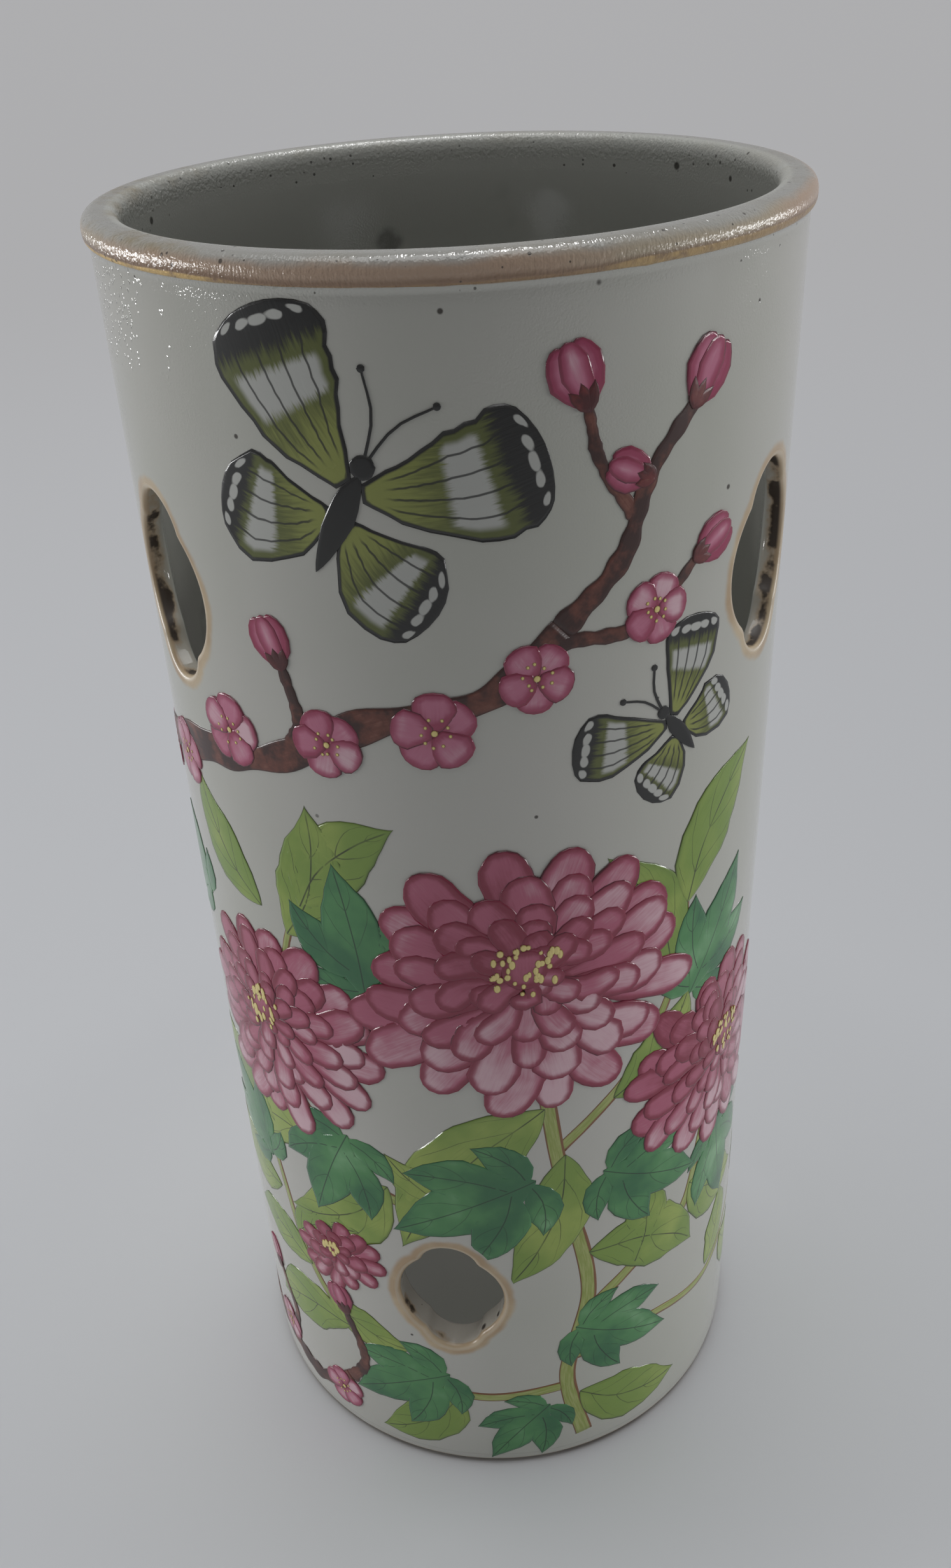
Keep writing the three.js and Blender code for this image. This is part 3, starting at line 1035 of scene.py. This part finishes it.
paleLeafLook = {
    "green": "6E873A",
    "deep": "526A2C",
    "yellow": "8A9B4B",
    "line": "1A1B11",
    "roughness": 0.15,
    "lift": 0.075,
    "apart": 0.002,
    "leaves": (
        # root, tip (turn and height), width, bend, tone
        ((10, 118), (-20, 76), 21.0, 4.0, 0.30),
        ((14, 104), (2, 66), 16.0, -3.5, 0.62),
        ((19, 72), (48, 56), 18.0, -4.0, 0.25),
        ((46, 76), (70, 62), 17.0, 3.0, 0.7),
        ((-22, 94), (-50, 72), 18.0, -4.0, 0.5),
        ((-36, 98), (-66, 92), 15.0, 3.5, 0.8),
        ((17, 24), (44, 13), 17.0, 3.0, 0.35),
        ((-10, 27), (-30, 7), 15.0, -3.0, 0.55),
        ((-36, 40), (-64, 28), 17.0, 3.5, 0.4),
        ((-42, 50), (-20, 40), 12.0, 3.0, 0.72),
        ((37, 142), (22, 176), 15.0, 3.0, 0.2),
        ((40, 158), (58, 186), 16.0, -3.5, 0.6),
        ((24, 116), (42, 136), 14.0, 3.0, 0.45),
        ((-38, 156), (-30, 188), 16.0, 3.5, 0.33),
        ((-34, 164), (-14, 186), 15.0, -3.0, 0.48),
        ((-44, 160), (-60, 184), 14.0, -3.0, 0.15),
        ((66, 38), (90, 22), 15.0, 3.0, 0.52),
        ((78, 48), (100, 68), 15.0, -3.0, 0.42),
        ((-54, 74), (-80, 80), 15.0, -3.0, 0.66),
        ((-52, 96), (-84, 104), 15.0, 3.0, 0.28),
        ((78, 104), (98, 122), 14.0, 3.0, 0.36),
        ((2, 86), (-22, 104), 14.0, -3.0, 0.58),
        ((30, 62), (30, 88), 13.0, 3.0, 0.22),
        ((-50, 62), (-30, 76), 12.0, -2.5, 0.38),
        ((56, 38), (62, 60), 13.0, 2.5, 0.62),
        ((-46, 54), (-70, 56), 14.0, 2.5, 0.12),
    ),
}


def drawLeaf(sheet, root, tip, width, bend, lift, tone):
    root, tip = np.asarray(root, float), np.asarray(tip, float)
    along = tip - root
    sideways = np.array([along[1], -along[0]]) / np.hypot(*along)
    points = [root, root + along * 0.35 + sideways * bend,
              root + along * 0.72 + sideways * bend * 0.8, tip]
    sheet.stroke(points, leafWidth(width), lift, tone=tone)


def drawPaleLeaves(sheet, look):
    for number, (root, tip, width, bend, tone) in enumerate(look["leaves"]):
        drawLeaf(sheet, onPainting(*root), onPainting(*tip), width, bend,
                 look["lift"] + look["apart"] * (number % 3), tone)


def paleLeafEnamel(look):
    paint = Enamel("paleLeafEnamel")
    wash = paint.noise(60.0, 3.0) + (paint.tone - 0.5) * 0.25
    paint.body = paint.blend(paint.ramp(wash, 0.38, 0.68), look["green"], look["yellow"])
    edge = paint.ramp(paint.rim + paint.noise(90.0) * 2.0, 2.4, 0.6)
    paint.over(edge * 0.5, look["deep"])
    paint.over(paint.ramp(paint.hairs, 0.55, 0.8) * 0.3, look["deep"])
    midrib, side = veins(paint, 4.0, 1.5, 0.2)
    uneven = paint.ramp(paint.noise(160.0), 0.3, 0.6, 0.55, 1.0)
    outline = paint.ramp(paint.rim, 0.3, 0.1)
    line = midrib.most(outline * 0.8).most(side * 0.8) * uneven
    paint.over(line * 0.85, look["line"])
    return paint.fired(look)


paleLeaves = EnamelSheet()
drawPaleLeaves(paleLeaves, paleLeafLook)
paleLeaves.onWall("pale_leaf_enamel", paleLeafEnamel(paleLeafLook))


deepLeafLook = {
    "green": "467C4B",
    "deep": "2B603D",
    "pale": "78A47A",
    "line": "142A1E",
    "roughness": 0.13,
    "lift": 0.12,
    "apart": 0.003,
    "lobes": (
        # turn from the leaf's heading, where it leaves the midrib, length as a share
        (0, 0.0, 1.0), (38, 0.16, 0.66), (-38, 0.16, 0.66), (72, 0.05, 0.46), (-72, 0.05, 0.46),
    ),
    "leaves": (
        # root (turn and height), heading in degrees, length, tone
        ((8, 98), 208, 36.0, 0.3),
        ((22, 96), -28, 31.0, 0.6),
        ((16, 48), -28, 29.0, 0.4),
        ((-12, 34), 212, 31.0, 0.7),
        ((-30, 106), -112, 31.0, 0.5),
        ((-22, 146), 98, 31.0, 0.35),
        ((56, 88), -78, 30.0, 0.55),
        ((10, 22), 232, 24.0, 0.65),
        ((42, 134), 58, 31.0, 0.45),
        ((-56, 82), 130, 28.0, 0.6),
        ((86, 50), -20, 28.0, 0.5),
        ((-66, 150), 150, 26.0, 0.4),
        ((84, 118), -40, 26.0, 0.7),
    ),
}


def drawLobedLeaf(sheet, look, root, degrees, length, tone):
    # A middle lobe and two pairs of side lobes that leave its midrib low down
    for number, (turn, start, share) in enumerate(look["lobes"]):
        lobeRoot = root + heading(degrees) * length * start
        tip = lobeRoot + heading(degrees + turn) * length * share * (1.0 if turn else 1 - start)
        width = length * share * (0.5 if turn else 0.42)
        bend = math.copysign(0.05 * length, -turn) if turn else 0.6
        drawLeaf(sheet, lobeRoot, tip, width, bend, look["lift"] - look["apart"] * number, tone)


def deepLeafEnamel(look):
    paint = Enamel("deepLeafEnamel")
    wash = paint.noise(75.0, 3.0)
    paint.body = paint.blend(paint.ramp(wash, 0.32, 0.6), look["deep"], look["green"])
    paint.over(paint.ramp(wash, 0.56, 0.78) * 0.7, look["pale"])
    edge = paint.ramp(paint.rim, 1.3, 0.1) * paint.ramp(paint.onward, 0.25, 0.5)
    paint.over(edge * 0.6, look["deep"])
    midrib, side = veins(paint, 4.0, 1.3, 0.17)
    outline = paint.ramp(paint.rim, 0.28, 0.08) * paint.ramp(paint.onward, 0.3, 0.5)
    side = side * paint.ramp(paint.onward, 0.3, 0.5)
    line = midrib.most(outline * 0.8).most(side * 0.7)
    paint.over(line * 0.8, look["line"])
    return paint.fired(look)


deepLeaves = EnamelSheet()
for root, degrees, length, tone in deepLeafLook["leaves"]:
    drawLobedLeaf(deepLeaves, deepLeafLook, onPainting(*root), degrees, length, tone)
deepLeaves.onWall("deep_leaf_enamel", deepLeafEnamel(deepLeafLook))


# Plum branch, its twigs and a sprig at the foot
branchLook = {
    "brown": "5E3328",
    "dark": "311814",
    "light": "764D41",
    "roughness": 0.3,
    "lift": 0.17,
    "apart": 0.003,
    "dome": 0.03,
    "tones": (0.0, 0.07),
    "step": 0.9,
    "paths": (
        # first and last width, swelling, then turn and height of the points it runs through
        (7.4, 4.6, 0.26, (-96, 166), (-76, 184), (-54, 192), (-36, 196), (-16, 207), (2, 212),
         (14, 223)),
        (4.2, 2.4, 0.22, (14, 223), (24, 234), (28, 246), (36, 256)),
        (3.2, 1.8, 0.2, (-34, 196), (-29, 205), (-31, 216)),
        (3.0, 1.7, 0.2, (13, 221), (27, 221), (38, 230)),
        (2.8, 1.6, 0.2, (26, 240), (20, 250), (18, 259)),
        (5.6, 4.2, 0.3, (-86, 14), (-66, 13), (-50, 10), (-38, 19)),
        (3.6, 2.0, 0.2, (-38, 19), (-33, 30), (-37, 45)),
        (3.0, 1.8, 0.2, (-62, 13), (-58, 25), (-64, 37)),
        (5.6, 3.4, 0.3, (172, 58), (180, 84), (176, 104), (186, 124), (184, 142)),
        (3.4, 1.9, 0.2, (177, 98), (166, 112), (164, 126)),
        (3.2, 1.8, 0.2, (180, 84), (192, 96), (198, 110)),
    ),
}


def branchEnamel(look, name="branchEnamel"):
    paint = Enamel(name, 1.48)
    blotch = paint.noise(170.0, 4.0, 0.6)
    paint.body = paint.blend(paint.ramp(blotch, 0.42, 0.6), look["dark"], look["brown"])
    paint.over(paint.ramp(blotch + paint.hairs * 0.3, 0.72, 0.86) * 0.7, look["light"])
    ragged = paint.noise(400.0) * 0.7
    paint.over(paint.ramp(paint.rim, 0.1 + ragged, 0.0) * 0.8, look["dark"])
    return paint.fired(look)


branches = EnamelSheet()
drawStalks(branches, branchLook)
branches.onWall("branch_enamel", branchEnamel(branchLook))


# Chrysanthemums
roseLook = {
    "deep": "761D35",
    "rose": "9C5067",
    "pale": "C0A0A9",
    "line": "6C1830",
    "ink": "2A1115",
    "roughness": 0.17,
    "ringStep": 0.06,  # each ring lies higher than the one outside it
    "oddStep": 0.025,  # and so does every second petal
    "lean": 0.16,  # how far the heart sits towards the way it faces, as a share of the radius
    "rings": (
        # petals in the ring, reach of root and tip, and width, as shares of the bloom's radius
        (16, 0.32, 1.00, 0.285),
        (14, 0.25, 0.84, 0.27),
        (14, 0.17, 0.67, 0.225),
        (12, 0.10, 0.50, 0.19),
        (8, 0.04, 0.34, 0.17),
        (6, 0.0, 0.20, 0.12),
    ),
}
blooms = {
    # centre (turn and height), radius, the way it faces, squash, rings left out, lift, seed
    "middle_bloom_enamel": ((8, 149), 36.0, 100, 0.86, 0, 0.3, 3),
    "right_bloom_enamel": ((54, 110), 30.0, 60, 0.86, 0, 0.2, 8),
    "left_bloom_enamel": ((-46, 128), 30.0, 130, 0.86, 0, 0.2, 5),
    "small_bloom_enamel": ((-37, 64), 14.0, 120, 0.74, 3, 0.2, 9),
}


def drawBloom(petals, stamens, look, centre, radius, facing, squash, skip, lift, seed):
    # Rings of petals from the outside in. The bloom is tilted, so it is squashed along the way
    # it faces, and its inner rings sit further that way.
    chance = np.random.default_rng(seed)
    forward, aside = heading(facing), heading(facing - 90)
    centre = onPainting(*centre)
    rings = look["rings"][skip:]
    levels, full = len(rings), rings[0][2]
    for level, (count, inner, outer, width) in enumerate(rings):
        inner, outer, width = inner / full, outer / full, width / full
        middle = centre + forward * radius * look["lean"] * (1 - outer)
        for k in range(count):
            angle = (k + 0.5 * (level % 2) + chance.normal(0, 0.09)) * 2 * math.pi / count
            way = aside * math.cos(angle) + forward * math.sin(angle) * squash
            sideways = np.array([way[1], -way[0]])
            reach = outer * radius * (1 + chance.normal(0, 0.045))
            bend = chance.normal(0, 0.05) * radius
            root, tip = middle + way * inner * radius, middle + way * reach
            points = [root, (root + tip) / 2 + sideways * bend, tip + sideways * bend * 0.4]
            # the side away from the light is painted deeper, and so is the heart
            lit = way @ heading(-55)
            tone = 0.5 + 0.3 * lit - 0.2 * level / levels + chance.normal(0, 0.09)
            shape = petalWidth(width * radius * (1 + chance.normal(0, 0.06)), 0.7, 0.36)
            above = lift + look["ringStep"] * level + look["oddStep"] * (k % 2)
            petals.stroke(points, shape, above, 0.02, min(max(tone, 0.0), 1.0), 1.7)
    heart = centre + forward * radius * look["lean"]
    petals.dot(heart, radius * 0.13, lift + look["ringStep"] * levels - 0.02, 0.15)
    for k in range(int(radius * 1.1)):
        angle = chance.uniform(0, 2 * math.pi)
        reach = radius * 0.2 * math.sqrt(chance.uniform(0.02, 1))
        spot = heart + (aside * math.cos(angle) + forward * math.sin(angle) * squash) * reach
        stamens.dot(spot, chance.uniform(0.42, 0.7), lift + look["ringStep"] * levels + 0.05,
                    chance.uniform(0, 1), chance.uniform(1.0, 1.9))


def roseEnamel(look, name="roseEnamel"):
    paint = Enamel(name)
    wash = paint.noise(95.0, 3.0) - 0.5
    # deep at the root, paler towards the tip and in the middle, streaked a little
    pale = paint.onward * 0.42 + paint.tone * 0.85 + wash * 0.9 + (paint.hairs - 0.5) * 0.32
    pale = pale + paint.ramp(paint.rim, 0.4, 2.4) * 0.34 - 0.27
    paint.body = paint.blend(paint.ramp(pale, 0.12, 0.62), look["deep"], look["rose"])
    paint.over(paint.ramp(pale, 0.62, 1.15), look["pale"])
    # a crimson outline that ran a little into the wet petal
    uneven = paint.noise(150.0)
    paint.over(paint.ramp(paint.rim - uneven * 1.4, 1.1, -0.1) * 0.85, look["deep"])
    outline = paint.ramp(paint.rim - uneven * 0.6, 0.4, 0.0)
    paint.over(outline * 0.6, look["line"])
    # here and there a broken dark line, drawn last
    ink = paint.ramp(paint.rim, 0.3, 0.1) * paint.ramp(paint.noise(85.0, 3.0), 0.51, 0.59)
    paint.over(ink * 0.65, look["ink"])
    return paint.fired(look)


stamens = EnamelSheet()
rose = roseEnamel(roseLook)
for name, bloom in blooms.items():
    petals = EnamelSheet()
    drawBloom(petals, stamens, roseLook, *bloom)
    petals.onWall(name, rose)


# Plum blossoms and buds
blossomLook = {
    "deep": "8A3350",
    "rose": "A9647C",
    "pale": "C0A0A9",
    "line": "6C1C32",
    "ink": "2A1115",
    "roughness": 0.16,
    "lift": 0.24,
    "blossoms": (
        # turn and height, petal length, turn of the flower, seed
        ((-45, 199), 7.4, 10, 1), ((-24, 202), 6.8, 40, 2), ((-6, 206), 7.6, 25, 3),
        ((10, 215), 6.6, 55, 4), ((30, 223), 6.4, 70, 7), ((-64, 186), 7.0, 15, 6),
        ((-41, 13), 6.4, 35, 8), ((-63, 17), 6.0, 20, 9), ((179, 92), 7.4, 30, 10),
        ((184, 118), 6.6, 5, 11), ((-80, 180), 6.4, 50, 12),
    ),
    "buds": (
        # root (turn and height), heading, length
        ((36, 256), 60, 10.5), ((18, 259), 110, 10.0), ((38, 230), 25, 9.0), ((-31, 216), 110, 9.0),
        ((28, 246), 155, 8.0), ((-37, 45), 105, 8.5), ((-64, 37), 120, 8.0),
        ((164, 126), 105, 9.0), ((198, 110), 50, 9.0), ((184, 142), 90, 10.0),
    ),
}


def drawBlossom(petals, stamens, look, centre, size, turn, seed):
    chance = np.random.default_rng(seed)
    centre = onPainting(*centre)
    for k in (0, 2, 4, 1, 3):
        way = heading(turn + 72 * k + chance.normal(0, 4))
        petals.stroke([centre + way * 0.3, centre + way * size * 0.55, centre + way * size],
                      petalWidth(size * 1.02, 0.58, 0.3), look["lift"] + 0.022 * (k % 3), 0.02,
                      chance.uniform(0.3, 0.85), 1.2)
    for k in range(9):
        way = heading(turn + 40 * k + chance.normal(0, 6))
        reach = size * chance.uniform(0.24, 0.42)
        stamens.dot(centre + way * reach, 0.33, look["lift"] + 0.1, chance.uniform(0, 1))
    stamens.dot(centre, 0.6, look["lift"] + 0.1, 0.2)


def drawBud(petals, look, root, degrees, length):
    root = onPainting(*root)
    for k, turn in enumerate((-24, 24, 0)):
        way, tip = heading(degrees + turn), root + heading(degrees + turn * 0.4) * length
        petals.stroke([root, root + way * length * 0.5, tip], petalWidth(length * 0.5, 0.55, 0.4),
                      look["lift"] + 0.03 * k, 0.02, 0.12 + 0.25 * k, 1.2)


blossoms, calyxes = EnamelSheet(), EnamelSheet()
for centre, size, turn, seed in blossomLook["blossoms"]:
    drawBlossom(blossoms, stamens, blossomLook, centre, size, turn, seed)
for root, degrees, length in blossomLook["buds"]:
    drawBud(blossoms, blossomLook, root, degrees, length)
    # three sepals at its root
    for turn in (-40, 40, 0):
        base = onPainting(*root) - heading(degrees) * 1.2
        drawLeaf(calyxes, base, base + heading(degrees + turn * 0.7) * length * 0.48, 2.0, 0.0,
                 blossomLook["lift"] + 0.12, 0.3)
blossoms.onWall("blossom_enamel", roseEnamel(blossomLook, "blossomEnamel"))
calyxLook = dict(branchLook, dark="401517", brown="602424")
calyxes.onWall("calyx_enamel", branchEnamel(calyxLook, "calyxEnamel"))


# Yellow dots in the hearts of the flowers
stamenLook = {"yellow": "CDBD7C", "shade": "85692F", "roughness": 0.2}


def stamenEnamel(look):
    paint = Enamel("stamenEnamel")
    paint.body = paint.blend(paint.ramp(paint.rim, 0.2, 0.05), look["yellow"], look["shade"])
    return paint.fired(look)


stamens.onWall("stamen_enamel", stamenEnamel(stamenLook))


# Butterflies
butterflyLook = {
    "olive": "515729",
    "yellow": "7C8242",
    "black": "171716",
    "white": "A3A4A0",
    "roughness": 0.2,
    "lift": 0.06,
    "flying": (
        # middle of the body (turn and height), span, the way the head points
        ((-17, 245), 62.0, 62),
        ((35, 199), 40.0, 128),
        ((214, 226), 46.0, 70),
    ),
    "wings": (
        # heading from the head's, root and length as shares of the span, width, tip, tone
        (58, 0.03, 0.50, 0.33, 0.80, 0.9), (-58, 0.03, 0.50, 0.33, 0.80, 0.9),
        (122, 0.03, 0.36, 0.30, 0.66, 0.35), (-122, 0.03, 0.36, 0.30, 0.66, 0.35),
    ),
}


def drawButterfly(wings, bodies, look, centre, span, degrees):
    centre, ahead = onPainting(*centre), heading(degrees)
    for turn, root, length, width, tip, tone in look["wings"]:
        way, bent = heading(degrees + turn), heading(degrees + turn * 0.8)
        foremost = abs(turn) < 90
        start = centre + ahead * span * (0.04 if foremost else -0.02)
        wings.stroke([start + way * root * span, start + way * length * span * 0.55,
                      start + (way * 0.55 + bent * 0.45) * length * span],
                     petalWidth(width * span, tip, 0.14),
                     look["lift"] + (0.05 if foremost else 0.0), 0.02, tone, 1.3)
    head = centre + ahead * span * 0.12
    bodies.stroke([centre - ahead * span * 0.2, centre - ahead * span * 0.05,
                   centre + ahead * span * 0.1],
                  leafWidth(span * 0.075, 0.6, 0.7), look["lift"] + 0.12, 0.08)
    bodies.dot(head, span * 0.032, look["lift"] + 0.13)
    for turn in (24, -24):
        knob = head + heading(degrees + turn) * span * 0.24
        bow = head + heading(degrees + turn * 0.55) * span * 0.13
        bodies.stroke([head, bow, knob], taper(0.5, 0.35), look["lift"] + 0.1, 0.0)
        bodies.dot(knob, 0.6, look["lift"] + 0.11)


def wingEnamel(look):
    paint = Enamel("wingEnamel")
    feather = (paint.hairs - 0.5) * 0.5 + (paint.noise(150.0) - 0.5) * 0.25
    onward = paint.onward + feather
    paint.body = paint.blend(paint.ramp(onward, 0.15, 0.5), look["yellow"], look["olive"])
    # a white band across the wing, hatched with dark hairs, then the black margin
    band = paint.ramp(abs(paint.onward - 0.6 + paint.tone * 0.06) + abs(feather) * 0.3, 0.15, 0.09)
    paint.over(band * paint.ramp(abs(paint.across), 0.85, 0.7), look["white"])
    paint.over(paint.ramp(paint.onward + feather * 0.4, 0.7, 0.8), look["black"])
    fan = paint.across * 2.6 + 10.0
    away = abs(fan.fraction() - 0.5) / 2.6 * paint.half
    vein = paint.ramp(away, 0.26, 0.1) * paint.ramp(paint.onward, 0.1, 0.2)
    paint.over(vein * 0.85, look["black"])
    paint.over(paint.ramp(paint.rim, 0.95, 0.5), look["black"])
    # one white spot between each pair of veins in the margin
    cell = abs((fan + 0.5).fraction() - 0.5) / 2.6 * paint.half
    spot = hypot(cell, paint.onward * paint.length - paint.length + 2.6)
    paint.over(paint.ramp(spot, 0.95, 0.65), look["white"])
    return paint.fired(look)


def bodyEnamel(look):
    paint = Enamel("blackEnamel")
    paint.body = look["black"]
    return paint.fired(look)


wings, bodies = EnamelSheet(), EnamelSheet()
for centre, span, degrees in butterflyLook["flying"]:
    drawButterfly(wings, bodies, butterflyLook, centre, span, degrees)
wings.onWall("wing_enamel", wingEnamel(butterflyLook))
bodies.onWall("butterfly_body_enamel", bodyEnamel(butterflyLook))


# Studio
studio = {
    # the floor's colours are painted light and shade
    "floorColour": "C4C4C6",
    "floorLeft": "CFD1D5",
    "floorRight": "C8CACE",
    "floorFrontLight": "E6E8EA",
    "floorDim": "9A9A9C",  # in front of the picture, where less light falls
    "dimFrom": -0.2,
    "dimTo": -1.4,
    "reach": 14.0,
    "world": 0.27,
    "worldFront": 0.1,  # less light comes from the front
    "seenWorld": 0.4,  # what is seen past the edge of the floor, in mirrors too
    "overhead": {"strength": 1.68, "spread": 56.0, "tilt": 5.0},
    "lamps": (
        # name, place, width, height, power, and the share of it that is mirrored in the glaze
        ("left", (-3.2, 0.55, 0.15), 2.87, 0.26, 71.0, 0.95),
        ("right", (3.2, 0.29, 0.15), 2.87, 0.26, 64.0, 0.62),
        ("table", (0.008, -0.17, 0.01), 0.2, 0.03, 0.026, 0.0),  # light that a white table returns
    ),
    "aim": 0.14,  # the height that they face
    "glint": ((0.17, 0.78, 1.8), 0.11, 0.5, 7.5, 0.28),  # place, width, depth, power, aim
}


def makeFloor(look):
    # A pale flat floor that reaches past the edge of the picture, its colour painted with light and
    # shade
    side = np.linspace(-look["reach"], look["reach"], 5) / millimetre
    x, y = np.meshgrid(side, side)
    grid = np.stack([x, y, 0 * x], -1).reshape(-1, 3)
    paint = Paint("floorPaper", Roughness=0.9)
    x, y, _ = paint.parts(paint.at)
    # painted light: lighter on the left than on the right, and paler round the stand
    sides = paint.blend(paint.ramp(x, -0.25, 0.25), look["floorLeft"], look["floorRight"])
    pale = paint.ramp(hypot(x, y + 0.05), 1.6, 0.1)
    paint.body = paint.blend(pale, look["floorColour"], sides)
    # painted light: a paler pool round the foot, and a lighter strip just in front of it
    near = paint.ramp(hypot(x, y), 0.16, 0.06) * paint.ramp(x, 0.06, -0.04, 0.2, 0.45)
    paint.over(near, look["floorFrontLight"])
    paint.over(paint.ramp(y, -0.07, -0.17), look["floorFrontLight"])
    # painted shade further in front
    paint.over(paint.ramp(y, look["dimFrom"], look["dimTo"]), look["floorDim"])
    paper = paint.set(Base_Color=paint.body)
    buildMesh("floor", grid, gridQuads(5, 5, False, False), paper)


def makeWorld(look):
    # The camera, mirrors and glass see one plain tone in it. What it lights is lit more from
    # behind the stand than from in front, by the y of the direction.
    world = bpy.data.worlds.new("room")
    nodes = Nodes(world)
    seen, glossy, passed = (nodes.node("LightPath", {}, {}, f"Is {kind} Ray")
                            for kind in ("Camera", "Glossy", "Transmission"))
    direction = nodes.parts(nodes.node("TexCoord", {}, {}, "Generated"))
    given = nodes.node("MapRange", {}, {
        "Value": direction[1], "From Min": -0.4, "From Max": 0.2,
        "To Min": look["worldFront"], "To Max": look["world"]})
    strength = nodes.node("MapRange", {}, {
        "Value": seen.most(glossy).most(passed), "To Min": given, "To Max": look["seenWorld"]})
    background = nodes.tree.nodes["Background"]
    nodes.feed(background.inputs["Color"], "FFFFFF")
    nodes.feed(background.inputs["Strength"], strength)
    bpy.context.scene.world = world


def gathered(name, pieces):
    # A collection that a lamp is linked to, so that it lights these pieces alone
    collection = bpy.data.collections.new(name)
    for piece in pieces:
        collection.objects.link(piece)
    return collection


def placedLamp(name, kind):
    data = bpy.data.lights.new(name, kind)
    lamp = bpy.data.objects.new(name, data)
    bpy.context.scene.collection.objects.link(lamp)
    return lamp, data


def areaLamp(name, place, width, height, power, aim, lit):
    # A rectangle that faces the height aim on the stand's axis
    lamp, data = placedLamp(name, "AREA")
    data.shape = "RECTANGLE"
    data.size, data.size_y, data.energy = width, height, power
    lamp.location = place
    lamp.light_linking.receiver_collection = lit
    towards = Vector((0, 0, aim)) - Vector(place)
    lamp.rotation_euler = towards.to_track_quat("-Z", "Y").to_euler()
    return lamp


def makeLamps(look):
    above = look["overhead"]
    lamp, data = placedLamp("overhead", "SUN")
    data.energy, data.angle = above["strength"], math.radians(above["spread"])
    lamp.rotation_euler = (math.radians(-above["tilt"]), 0, 0)
    # The side lamps are kept off the floor, which would burn out in front of them. Each is two
    # lamps, one just behind the other, and only the one in front is mirrored in the glaze, so
    # that its image doesn't burn out.
    stand = gathered("stand", (*glazedPieces, footRing))
    for name, place, width, height, power, mirror in look["lamps"]:
        for mirrored, share, back in ((True, mirror, 1.0), (False, 1.0 - mirror, 1.02)):
            if share > 0.0:
                lamp = areaLamp(name, Vector(place) * back, width * back, height * back,
                                power * share * back * back, look["aim"] * back, stand)
                lamp.visible_glossy = mirrored
    # A small lamp overhead is mirrored in the lip alone
    glint = areaLamp("glint", *look["glint"], gathered("rim", (lip,)))
    glint.visible_diffuse = False


makeFloor(studio)
makeWorld(studio)
makeLamps(studio)
bpy.context.scene.view_settings.view_transform = "Standard"
print("studio lit")

# Every piece belongs to the one body
for piece in glazedPieces:
    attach(piece, "root")
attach(footRing, "root")
